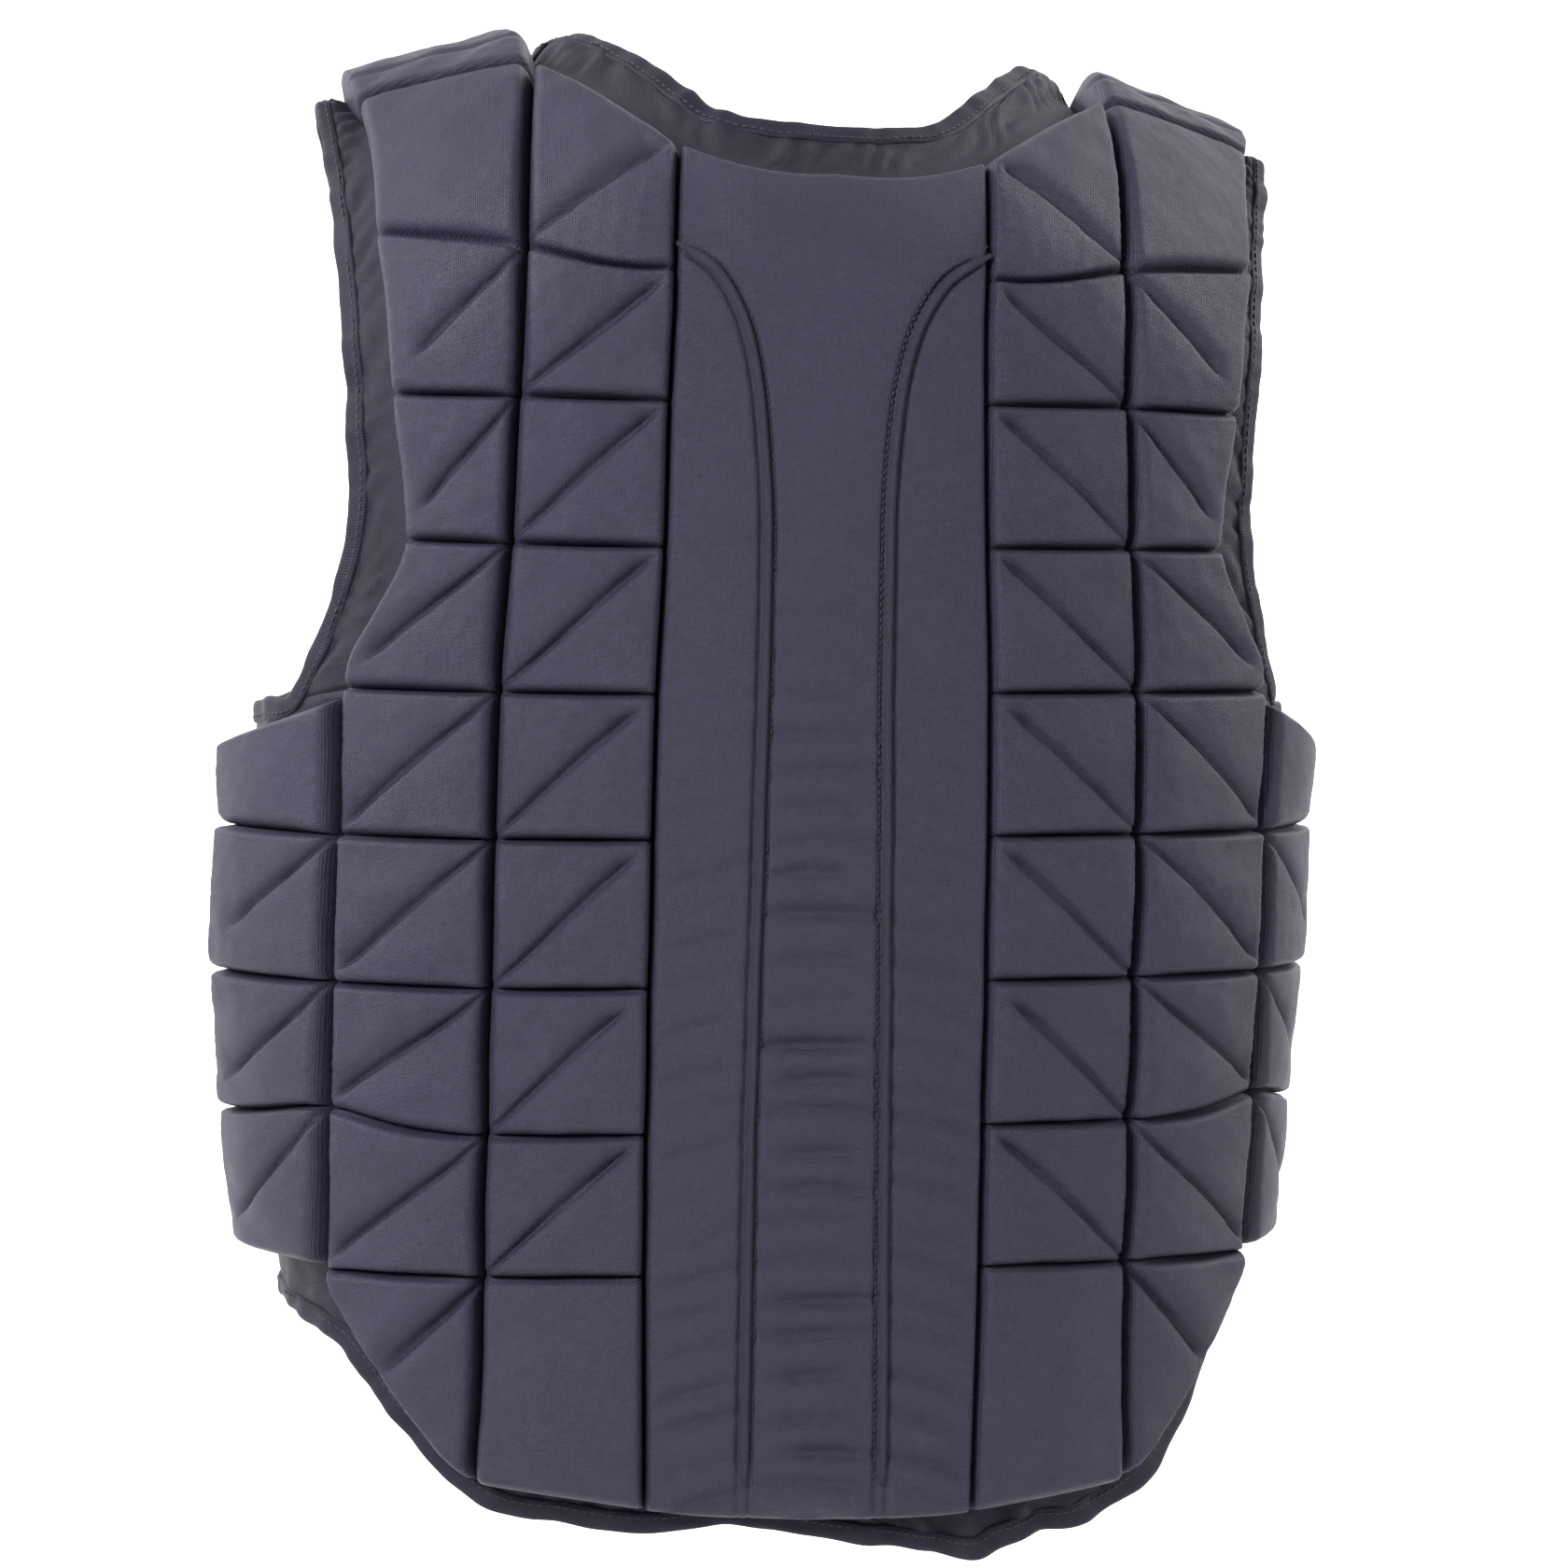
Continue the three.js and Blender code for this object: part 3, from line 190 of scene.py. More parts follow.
@dataclass
class BodyForm:
    """The inner face of the garment; all lengths in millimetres."""

    half_width: float = 200.0
    half_depth: float = 106.0
    power: float = 2.35
    reach: float = 140.0
    slope: float = 0.4
    softness: float = 60.0
    roll: float = 110.0
    length: float = 539.0
    drop_step: float = 3.0
    # Share of the length, share of the half width, share of the half depth.
    table: tuple[tuple[float, float, float], ...] = (
        (0.0, 1.0, 0.93), (0.2, 1.0, 0.97), (0.42, 1.0, 1.0), (0.56, 0.998, 1.0),
        (0.68, 0.97, 0.97), (0.78, 0.94, 0.94), (0.86, 0.925, 0.93), (1.1, 0.92, 0.93),
    )

    def __post_init__(self) -> None:
        """Works out the section at every height once."""
        self.quarter_roll = self.roll * math.pi / 2
        self.drops = np.arange(0.0, 720.0, self.drop_step)
        self.ways = np.arange(0.0, 300.0, 1.0)
        down = self.drops / self.length
        widths = self._read(down, 1) * self.half_width
        depths = self._read(down, 2) * self.half_depth
        turn = np.linspace(0.0, math.pi / 2, 361)
        self.across = np.zeros((len(self.drops), len(self.ways)))
        self.deep = np.zeros_like(self.across)
        self.quarter = np.zeros(len(self.drops))
        for k in range(len(self.drops)):
            x = widths[k] * np.sin(turn) ** (2 / self.power)
            y = depths[k] * np.cos(turn) ** (2 / self.power)
            y[-1] = 0.0
            run = run_along(x, y)
            self.quarter[k] = run[-1]
            past = self.ways > run[-1]
            way = np.where(past, 2 * run[-1] - self.ways, self.ways)
            self.across[k] = np.interp(way, run, x)
            self.deep[k] = np.where(past, -np.interp(way, run, y), np.interp(way, run, y))

    def _read(self, down: np.ndarray, column: int) -> np.ndarray:
        """Reads one column of the form table at shares of the length."""
        rows = np.array(self.table)
        at = np.clip(down, rows[0, 0], rows[-1, 0])
        k = np.clip(np.searchsorted(rows[:, 0], at, side="left") - 1, 0, len(rows) - 2)
        t = np.clip((at - rows[k, 0]) / (rows[k + 1, 0] - rows[k, 0]), 0, 1)
        return rows[k, column] + (rows[k + 1, column] - rows[k, column]) * t * t * (3 - 2 * t)

    def section(self, s: np.ndarray, drop: np.ndarray) -> tuple[np.ndarray, np.ndarray]:
        """Returns how far across and how deep a point of the section lies.

        Args:
            s: way round from the middle.
            drop: height below the ridge.
        Returns:
            Two arrays, across and deep.
        """
        u = np.clip(np.abs(s), 0, self.ways[-1] - 0.01)
        i = u.astype(int)
        fu = u - i
        v = np.clip(drop / self.drop_step, 0, len(self.drops) - 1.001)
        j = v.astype(int)
        fv = v - j

        def read(grid: np.ndarray) -> np.ndarray:
            """Bilinear value of a grid."""
            low = grid[j, i] * (1 - fu) + grid[j, i + 1] * fu
            high = grid[j + 1, i] * (1 - fu) + grid[j + 1, i + 1] * fu
            return low * (1 - fv) + high * fv

        return np.sign(s) * read(self.across), read(self.deep)

    def drop_of(self, q: np.ndarray) -> np.ndarray:
        """Height below the ridge for a way over the shoulder."""
        way = np.abs(q)
        rolled = self.roll * (1 - np.cos(np.minimum(way, self.quarter_roll) / self.roll))
        return np.where(way >= self.quarter_roll, self.roll + way - self.quarter_roll, rolled)

    def ridge(self, x: np.ndarray) -> np.ndarray:
        """Height of the shoulder ridge across the body."""
        return self.slope * (math.hypot(self.reach, self.softness) - np.hypot(x, self.softness))

    def surface(self, s: np.ndarray, q: np.ndarray) -> np.ndarray:
        """Points of the inner face."""
        drop = self.drop_of(q)
        x, y = self.section(s, drop)
        turn = np.minimum(np.abs(q) / self.roll, math.pi / 2)
        side = np.where(q < 0, 1.0, -1.0)
        return np.stack([x, side * y * np.sin(turn), self.ridge(x) - drop], -1)

    def place(self, s: np.ndarray, q: np.ndarray, w: np.ndarray) -> np.ndarray:
        """Points at a level outside the inner face, where the hanging garment has them.

        Args:
            s: way round from the middle.
            q: way over the shoulder.
            w: level.
        Returns:
            One point per entry.
        """
        s = np.asarray(s, float)
        q = np.asarray(q, float)
        step = 1.5
        ds = self.surface(s + step, q) - self.surface(s - step, q)
        dq = self.surface(s, q + step) - self.surface(s, q - step)
        normal = np.cross(dq, ds)
        normal /= np.linalg.norm(normal, axis=-1, keepdims=True)
        return LEAN(self.surface(s, q) + normal * np.asarray(w, float)[..., None])

    def way_to(self, s: float, z: float, face: Face) -> float:
        """Way over the shoulder to a height.

        Args:
            s: the upright line.
            z: the height.
            face: back or front.
        Returns:
            The way, with the sign of the face.
        """
        line = np.array([float(s)])
        drop = np.array([-float(z)])
        for _ in range(14):
            x, _deep = self.section(line, drop)
            drop = np.maximum(self.ridge(x) - z, 0)
        d = float(drop[0])
        if d >= self.roll:
            return face.value * (self.quarter_roll + d - self.roll)
        return face.value * self.roll * math.acos(1 - d / self.roll)

    def seam_at(self, z: float) -> float:
        """Way round to the side seam at height z."""
        drop = -z
        for _ in range(8):
            width = float(np.interp(drop, self.drops, self.across.max(axis=1)))
            drop = float(self.ridge(np.array(width))) - z
        return float(np.interp(drop, self.drops, self.quarter))


@dataclass(frozen=True)
class Lean:
    """How the hanging garment leans and slumps, as shifts across and up, in millimetres.

    Each row of a table is one place across, each entry one height.
    """

    places: tuple[float, ...] = (-222.0, -180.0, -90.0, 0.0, 90.0, 180.0, 222.0)
    heights: tuple[float, ...] = (20.0, -40.0, -100.0, -170.0, -260.0, -350.0, -440.0, -500.0, -560.0)
    across: tuple[tuple[float, ...], ...] = (
        (6.3, 4.7, 2.4, -1.0, -6.4, -7.7, -5.4, -1.3, 1.9),
        (6.2, 3.6, 2.0, 1.5, 0.2, -1.3, -1.2, 0.5, 3.0),
        (5.3, 1.2, 0.0, 0.5, -0.6, -0.6, 0.5, 2.1, 3.4),
        (3.5, -1.1, -2.6, -2.3, -1.8, -0.6, 0.8, 1.6, 2.0),
        (2.3, -1.8, -3.1, -2.9, -1.1, 0.7, 1.4, 0.7, -0.2),
        (-0.0, -1.2, -1.2, -1.0, -0.0, 0.8, 1.7, 1.3, -0.1),
        (-1.5, -0.6, -0.3, -1.4, -4.0, -6.4, -4.4, -1.2, 0.9),
    )
    up: tuple[tuple[float, ...], ...] = (
        (10.8, 6.5, 2.6, -0.8, -3.2, -4.1, -4.0, -2.9, -1.3),
        (6.7, 5.2, 1.5, -1.9, -3.7, -3.5, -4.5, -2.3, 1.5),
        (-0.2, 1.9, -0.8, -2.7, -2.1, -2.9, -2.9, -0.4, 4.1),
        (-5.4, -1.0, -0.9, -1.3, -0.1, 0.1, 0.2, 0.8, 3.6),
        (-6.0, -0.8, 0.6, 0.2, 1.7, 2.5, 1.6, 0.1, -0.8),
        (-3.0, -0.5, 1.3, 1.2, 2.1, 3.9, 2.0, -0.3, -2.2),
        (-0.5, 0.1, 0.9, 1.6, 2.3, 3.0, 2.1, -0.1, -2.6),
    )

    @staticmethod
    def _blend(x: np.ndarray, knots: np.ndarray) -> np.ndarray:
        """Weights of a smooth curve through knots, one column per knot."""
        last = len(knots) - 1
        x = np.clip(x, knots[0], knots[-1])
        i = np.clip(np.searchsorted(knots, x, side="right") - 1, 0, last - 1)
        h = knots[i + 1] - knots[i]
        t = (x - knots[i]) / h
        weights = np.zeros((len(x), last + 1))
        rows = np.arange(len(x))
        np.add.at(weights, (rows, i), 2 * t ** 3 - 3 * t ** 2 + 1)
        np.add.at(weights, (rows, i + 1), 3 * t ** 2 - 2 * t ** 3)
        for at, pull in ((i, h * (t ** 3 - 2 * t ** 2 + t)), (i + 1, h * (t ** 3 - t ** 2))):
            low, high = np.clip(at - 1, 0, last), np.clip(at + 1, 0, last)
            span = knots[high] - knots[low]
            np.add.at(weights, (rows, high), pull / span)
            np.add.at(weights, (rows, low), -pull / span)
        return weights

    def __call__(self, points: np.ndarray) -> np.ndarray:
        """Moves points of the upright form to where they hang."""
        flat = points.reshape(-1, 3)
        wide = self._blend(flat[:, 0], np.array(self.places))
        tall = self._blend(-flat[:, 2], -np.array(self.heights))
        moved = flat.copy()
        moved[:, 0] += np.einsum("ni,ij,nj->n", wide, np.array(self.across), tall)
        moved[:, 2] += np.einsum("ni,ij,nj->n", wide, np.array(self.up), tall)
        return moved.reshape(points.shape)


FORM = BodyForm()
LEAN = Lean()


# ---------------------------------------------------------------- the lattice


@dataclass
class Lattice:
    """The upright lines and row lines that every piece of cloth and foam is cut to."""

    spine_width: float = 124.0
    column_width: float = 58.0
    side_strip_share: float = 0.076
    front_column_width: float = 60.0
    placket_width: float = 44.0
    gap: float = 0.4
    seam_gap: float = 0.3
    neck_half_width: float = 98.0
    front_neck_drop: float = 62.0
    armhole_margin: float = 16.0
    chest_arc: float = 252.44
    # Row lines near the shoulder, and the pitch of those below, as shares of the length.
    first_share: float = 0.127
    second_share: float = 0.2105
    pitch_share: float = 0.1011
    third_rise: float = 1.5
    back_scoop: tuple[float, ...] = (0, 0.955, 0.99, 1.0)
    front_scoop: tuple[float, ...] = (0, 0.965, 0.99, 1.0)
    # Last foam line of the back and of the front.
    back_foam_line: int = 6
    front_foam_line: int = 5
    lean: tuple[float, ...] = (0.89, 0.9, 0.91, 0.925, 0.935, 0.955, 0.975, 1.0)
    back_arm: tuple[tuple[float | None, float | None], ...] = (
        (0.93, 0.975), (0.92, 0.972), (0.895, 0.965), (0.86, 0.948),
        (0.83, 0.93), (0.795, 0.9), (0.78, 0.895), (None, None),
    )
    front_arm: tuple[tuple[float | None, float | None], ...] = (
        (0.93, 0.975), (0.905, 0.955), (0.86, 0.925), (0.79, 0.885),
        (0.745, 0.85), (0.69, 0.8), (0.675, 0.79), (None, None),
    )
    # Heights near the shoulder as shares, or turns over the ridge in degrees where marked "r".
    back_top: tuple[tuple, ...] = (
        (0.182, 0.32, 0.467, 0.724), (0.168, 0.3, 0.467, 0.724), (0.035, 0.19, 0.375, 0.686),
        ("r0", "r18", "r43", "r58"), ("r0", "r14", "r27", "r48", 0.95), ("r0", "r13", "r25", "r45", 0.93),
        ("r0", "r12", "r23", "r42", 0.92), ("r0", "r12", "r23", "r42", 0.92),
    )
    front_top: tuple[tuple, ...] = (
        (None, None, None, 1.0, 1.22), (None, None, None, 0.98, 1.2), (None, None, None, 0.86, 1.1),
        ("r0", "r22", "r42", "r60", 1.0), ("r0", "r18", "r36", "r54", 1.08),
        ("r0", "r16", "r33", "r50", 1.1), ("r0", "r16", "r33", "r50", 1.1),
    )
    neck_lean: tuple[float, ...] = (1.0, 0.85, 0.5, -0.3, 0.0)
    # Bottom of the foam and of the fabric, as shares of the length.
    back_hem: tuple[tuple[float | None, float], ...] = (
        (0.995, 0.999), (0.993, 1.002), (0.988, 0.996), (0.979, 0.987), (0.968, 0.976),
        (0.911, 0.924), (None, 0.866), (None, 0.849), (None, 0.841), (None, 0.841),
    )
    front_hem: tuple[tuple[float, float], ...] = (
        (0.765, 0.782), (0.766, 0.783), (0.772, 0.788), (0.78, 0.796), (0.79, 0.806),
        (0.805, 0.821), (0.817, 0.832), (0.825, 0.841), (0.826, 0.841),
    )

    def __post_init__(self) -> None:
        """Lays out both lattices."""
        self.first = -self.first_share * FORM.length
        self.second = -self.second_share * FORM.length
        self.pitch = self.pitch_share * FORM.length
        self.third = self.second - self.pitch + self.third_rise
        self.fourth = self.third - self.pitch
        self.low_rows = [self.fourth - k * self.pitch for k in (1, 2, 3, 4)]
        self.armhole_drop = self.armhole_margin - self.fourth
        half, col = self.spine_width / 2, self.column_width
        side = self.chest_arc * (1 - self.side_strip_share) - half - 2 * col
        self.back_lines = [0, half / 2, half, half + col / 2, half + col, half + 1.5 * col,
                           half + 2 * col, half + 2 * col + side / 2, half + 2 * col + side]
        start, wide = self.placket_width / 2 + self.gap, self.front_column_width
        self.front_lines = [self.seam_gap / 2] + [start + k * wide / 2 for k in range(7)]
        self.back_up = self._upper(Face.BACK)
        self.back_low = self._lower(Face.BACK)
        self.front_up = self._upper(Face.FRONT)
        self.front_low = self._lower(Face.FRONT)

    def _head(self, s: float, value: float | str | None, unit: float, face: Face) -> Node | None:
        """A node near the shoulder.

        Args:
            s: way round of its line.
            value: its table entry.
            unit: height that a share of 1 stands for.
            face: back or front.
        Returns:
            The node, or None where the table has none.
        """
        if value is None:
            return None
        if isinstance(value, str):
            degrees = float(value[1:])
            q = self.seam_gap / 2 if degrees == 0 else FORM.roll * math.radians(degrees)
            return (s, face.value * q)
        return (s, FORM.way_to(s, value * unit, face))

    def _upper(self, face: Face) -> list[list[Node | None]]:
        """Nodes from the shoulder down to the fourth row line, as [line][row]."""
        back = face is Face.BACK
        lines = self.back_lines if back else self.front_lines
        foam_line = self.back_foam_line if back else self.front_foam_line
        unit = self.first if back else -self.front_neck_drop
        heights = [0, 0, 0, 0, 0, self.second, self.third, self.fourth]
        scoop = (self.back_scoop if back else self.front_scoop)[1]
        made = []
        for i, heads in enumerate(self.back_top if back else self.front_top):
            line: list[Node | None] = []
            for j, (foam_share, edge_share) in enumerate(self.back_arm if back else self.front_arm):
                lean = self.lean[j] if back else 1.0
                foam = lines[foam_line] if foam_share is None else foam_share * FORM.half_width
                s = lines[i] * lean
                if i == foam_line:
                    s = foam
                if i == foam_line - 1:
                    s = (lines[foam_line - 2] * lean + foam) / 2
                if i == foam_line + 1:
                    s = lines[i] if edge_share is None else edge_share * FORM.half_width
                if i == 3 and not back and j < 5:
                    s += (self.neck_half_width - s) * self.neck_lean[j]
                if i == 3 and back and j == 0:
                    s = self.neck_half_width
                if j < 4:
                    line.append(self._head(s, heads[j], unit, face))
                elif j == 4 and len(heads) > 4:
                    line.append(self._head(s, heads[4], unit, face))
                elif j == 4:
                    line.append((s, FORM.way_to(s, self.first, face)))
                else:
                    z = -self.armhole_drop * scoop if j == 7 and i == foam_line + 1 else heights[j]
                    line.append((s, FORM.way_to(s, z, face)))
            made.append(line)
        return made

    def _lower(self, face: Face) -> list[list[Node]]:
        """Nodes from the fourth row line, or the armhole, down to the hem, as [line][row]."""
        back = face is Face.BACK
        lines = self.back_lines if back else self.front_lines
        foam_line = self.back_foam_line if back else self.front_foam_line
        scoop = self.back_scoop if back else self.front_scoop
        made = []
        for i, (foam_share, edge_share) in enumerate(self.back_hem if back else self.front_hem):
            last = self.low_rows[3]
            foam = last if foam_share is None else -FORM.length * foam_share
            top = -self.armhole_drop * scoop[i - foam_line] if i > foam_line else self.fourth
            rows = self.low_rows if back else self.low_rows[:3]
            start = last if back else self.low_rows[2]
            heights = [top, *rows, (start + foam) / 2, foam, -FORM.length * edge_share]
            line = []
            for z in heights:
                s = lines[i] if i < len(lines) else FORM.seam_at(z) - self.seam_gap / 2
                line.append((s, FORM.way_to(s, z, face)))
            made.append(line)
        return made

    def joined(self, face: Face, line: int) -> list[Node | None]:
        """One upright line from shoulder to hem."""
        up, low = (self.back_up, self.back_low) if face is Face.BACK else (self.front_up, self.front_low)
        return [*up[line], *low[line][1:]]


LATTICE = Lattice()
# Levels outside the inner face, in millimetres.
SHELL = 2.0
FOAM_FLOOR = 2.5
FOAM_TOP = 20.0
GROOVE = 8.5
SPINE_TOP = 17.0


# ---------------------------------------------------------------- meshes


def mesh_object(name: str, points: np.ndarray, faces: Sequence[Sequence[int]],
                uv: np.ndarray | None = None, smooth: bool = True) -> bpy.types.Object:
    """Makes an object from points in millimetres.

    Args:
        name: the piece's name.
        points: one row per vertex.
        faces: corner numbers of each face.
        uv: cloth coordinates per vertex, in millimetres.
        smooth: whether faces are shaded smooth.
    Returns:
        The linked object.
    """
    mesh = bpy.data.meshes.new(name)
    mesh.from_pydata((points * MM).tolist(), [], [list(f) for f in faces])
    mesh.validate()
    if uv is not None:
        layer = mesh.uv_layers.new(name="cloth")
        corners = np.zeros(len(mesh.loops), dtype=np.int32)
        mesh.loops.foreach_get("vertex_index", corners)
        layer.data.foreach_set("uv", (uv[corners] * MM).astype(np.float32).ravel())
    mesh.polygons.foreach_set("use_smooth", [smooth] * len(mesh.polygons))
    mesh.update()
    made = bpy.data.objects.new(name, mesh)
    bpy.context.scene.collection.objects.link(made)
    return made


@dataclass
class Cover:
    """A closed piece over a grid: a fine outer face, a plainer inner face and walls between."""

    name: str
    s: np.ndarray
    q: np.ndarray
    top: np.ndarray
    floor: np.ndarray
    step_rows: int = 6
    step_columns: int = 6
    crossed: bool = False

    def build(self, side: Side = Side.RIGHT) -> bpy.types.Object:
        """Builds the mesh, mirrored for the left side."""
        rows, cols = self.s.shape
        sign = side.value
        top = FORM.place(self.s * sign, self.q, self.top).reshape(-1, 3)
        floor = FORM.place(self.s * sign, self.q, self.floor).reshape(-1, 3)
        points = [top]
        cloth = [np.stack([self.s * sign, self.q], -1).reshape(-1, 2)]
        faces: list[list[int]] = []

        def number(r: int, c: int) -> int:
            """The outer face's vertex in row r and column c."""
            return r * cols + c

        for r in range(rows - 1):
            for c in range(cols - 1):
                a, b, d, e = number(r, c), number(r, c + 1), number(r + 1, c + 1), number(r + 1, c)
                if self.crossed:
                    faces.append([a, b, d])
                    faces.append([a, d, e])
                else:
                    faces.append([a, b, d, e])
        below: dict[int, int] = {}
        kept: list[int] = []

        def under(k: int) -> int:
            """The inner face's vertex under an outer one."""
            if k not in below:
                below[k] = len(top) + len(kept)
                kept.append(k)
            return below[k]

        for r0 in range(0, rows - 1, self.step_rows):
            r1 = min(r0 + self.step_rows, rows - 1)
            for c0 in range(0, cols - 1, self.step_columns):
                c1 = min(c0 + self.step_columns, cols - 1)
                loop = [(r0, c) for c in (range(c0, c1) if r0 == 0 else [c0])]
                loop += [(r, c1) for r in (range(r0, r1) if c1 == cols - 1 else [r0])]
                loop += [(r1, c) for c in (range(c1, c0, -1) if r1 == rows - 1 else [c1])]
                loop += [(r, c0) for r in (range(r1, r0, -1) if c0 == 0 else [r1])]
                faces.append([under(number(r, c)) for r, c in reversed(loop)])
        rim = [(0, c) for c in range(cols)] + [(r, cols - 1) for r in range(1, rows)]
        rim += [(rows - 1, c) for c in range(cols - 2, -1, -1)] + [(r, 0) for r in range(rows - 2, 0, -1)]
        ring = [number(r, c) for r, c in rim]
        for a, b in zip(ring, ring[1:] + ring[:1]):
            faces.append([b, a, under(a), under(b)])
        points.append(floor[kept])
        cloth.append(cloth[0][kept])
        if side is Side.RIGHT:
            faces = [f[::-1] for f in faces]
        return outward(mesh_object(self.name, np.concatenate(points), faces, np.concatenate(cloth)))


def tube_faces(rings: int, sides: int, closed: bool = False) -> list[list[int]]:
    """Faces of a tube, with a cap at each end unless it closes on itself.

    Args:
        rings: number of rings of points.
        sides: number of points in each ring.
        closed: whether the last ring joins the first.
    Returns:
        Corner numbers of each face.
    """
    faces = []
    for k in range(rings if closed else rings - 1):
        n = (k + 1) % rings
        for m in range(sides):
            o = (m + 1) % sides
            faces.append([k * sides + m, k * sides + o, n * sides + o, n * sides + m])
    if not closed:
        faces.append(list(range(sides)))
        faces.append([(rings - 1) * sides + m for m in reversed(range(sides))])
    return faces


def outward(piece: bpy.types.Object) -> bpy.types.Object:
    """Turns a closed piece the right way round if its volume is negative."""
    mesh = piece.data
    mesh.calc_loop_triangles()
    count = len(mesh.loop_triangles)
    corners = np.zeros(count * 3, dtype=np.int32)
    mesh.loop_triangles.foreach_get("vertices", corners)
    at = np.zeros(len(mesh.vertices) * 3, dtype=np.float32)
    mesh.vertices.foreach_get("co", at)
    tri = at.reshape(-1, 3)[corners.reshape(-1, 3)].astype(float)
    volume = np.einsum("ij,ij->i", tri[:, 0], np.cross(tri[:, 1], tri[:, 2])).sum()
    if volume < 0:
        mesh.flip_normals()
    return piece


# ---------------------------------------------------------------- foam columns


@dataclass
class FoamColumn:
    """One upright column of foam blocks under its fabric cover."""

    node: str
    face: Face
    lines: tuple[list[Node], list[Node], list[Node]]
    block_ends: list[int]
    creases: Sequence[float]
    start: CreaseStart
    seed: int
    cells: int = 44
    groove: float = 6.0
    edge_radius: float = 5.4
    inner_radius: float = 0.0
    top_radius: float = 2.6
    foot_radius: float = 5.0
    crease_depth: float = 6.6
    lift: float = 0.0
    outer_radius: float = 0.0
    crown: float = 1.5
    crowding: float = 0.3
    groove_share: float = 0.34
    groove_bow: float = 0.5
    pucker_pitch: float = 4.3
    least_height: float = 6.0
    least_foam: float = 2.5
    foot_crease: tuple[float, float, float, float] | None = None

    def levels(self, u: np.ndarray, v: np.ndarray, wide: np.ndarray, tall: np.ndarray,
               s: np.ndarray, q: np.ndarray, block: int) -> np.ndarray:
        """Outer level of one block.

        Args:
            u: share of the way across, from the inner edge.
            v: share of the way down the block.
            wide: width of the block at each point.
            tall: height of the block at each point.
            s: way round.
            q: way over the shoulder.
            block: number of the block from the top.
        Returns:
            Levels in millimetres.
        """
        rng = np.random.default_rng(self.seed * 100 + block)
        inner, outer = u * wide, (1 - u) * wide
        head, foot = v * tall, (1 - v) * tall
        outer_radius = self.outer_radius or self.edge_radius
        walls = rise(inner, self.inner_radius or self.edge_radius) * rise(outer, outer_radius)
        bow = np.sin(np.pi * np.clip(u, 0, 1)) ** 0.6
        last = block == len(self.block_ends) - 2
        inside_gap = self.groove_share + self.groove_bow * bow
        head_gap = 1.0 if block == 0 else inside_gap
        foot_gap = 1.0 if last else inside_gap
        ends = 1 - head_gap * (1 - rise(head, self.top_radius + (3 if block == 0 else 0)))
        ends = ends * (1 - foot_gap * (1 - rise(foot, self.foot_radius)))
        level = self.groove + (FOAM_TOP - self.groove) * walls * ends
        crown = self.crown * np.sin(np.pi * u) * np.sin(np.pi * v)
        tilt = rng.uniform(-1.2, 1.2) * (u - 0.5) + rng.uniform(-1.6, 0.9) * (v - 0.5)
        level = level + (crown + tilt) * walls * ends - 1.0
        run = self.creases[block] if block < len(self.creases) else 0
        if last and self.foot_crease:
            level = level - self.free_crease(s, q, self.foot_crease) * walls
        elif run:
            level = level - self.crease(s, q, run, rng) * walls
        broad, fine = Ripple(self.seed + 31 * block, 24), Ripple(self.seed + 7 + block, 9)
        level = level + (broad(s, q) * 0.28 + fine(s, q) * 0.09) * walls
        return level - self.puckers(inner, outer, s, q, block)

    def crease(self, s: np.ndarray, q: np.ndarray, run: float, rng: np.random.Generator) -> np.ndarray:
        """Depth of a block's diagonal crease, from its inner top to its outer bottom corner.

        Args:
            s: way round over the block.
            q: way over the shoulder over the block.
            run: share of the diagonal that the crease runs.
            rng: the block's random draws.
        Returns:
            Depths in millimetres.
        """
        wide, tall = s[-1, -1] - s[0, 0], q[-1, -1] - q[0, 0]
        size = math.hypot(wide, tall)
        along = ((s - s[0, 0]) * wide + (q - q[0, 0]) * tall) / size ** 2
        off = ((s - s[0, 0]) * tall - (q - q[0, 0]) * wide) / size * np.sign(tall)
        if self.start is CreaseStart.OUTER_BOTTOM:
            along = 1 - along
        reach = run + rng.uniform(-0.03, 0.03)
        fade = ease((reach - along) / 0.16) * (0.6 + 0.4 * ease(along / 0.35))
        inside = np.clip(along, 0, 1)
        wander = 0.5 * np.sin(inside * math.pi * 1.6 + rng.uniform(0, 3))
        off = off + wander * ease(inside * 4) * ease((1 - inside) * 4)
        # The cloth above the crease falls to it softly; below it turns up sharply.
        above = 1.0 + 2.9 * inside
        soft = np.exp(-np.abs(off / above) ** 1.05) * 0.7 + np.exp(-np.abs(off / 13.0)) * 0.3
        sharp = np.exp(-(off / 1.3) ** 2) * 0.72 + np.exp(-np.abs(off / 8.0)) * 0.28
        return self.crease_depth * np.where(off > 0, soft, sharp) * fade

    def free_crease(self, s: np.ndarray, q: np.ndarray, line: tuple[float, float, float, float]) -> np.ndarray:
        """Depth of a crease that doesn't follow its block's diagonal.

        Args:
            s: way round.
            q: way over the shoulder.
            line: both ways of its start, then both of its end.
        Returns:
            Depths in millimetres.
        """
        s0, q0, s1, q1 = line
        size = math.hypot(s1 - s0, q1 - q0)
        along = ((s - s0) * (s1 - s0) + (q - q0) * (q1 - q0)) / size ** 2
        off = ((s - s0) * (q1 - q0) - (q - q0) * (s1 - s0)) / size
        fade = ease((1 - along) / 0.2) * ease((along + 0.05) / 0.1)
        above = 1.6 + 3.6 * np.clip(along, 0, 1)
        dip = np.where(off > 0, np.exp(-np.abs(off / above) ** 1.1), np.exp(-(off / 1.9) ** 2))
        return self.crease_depth * dip * fade

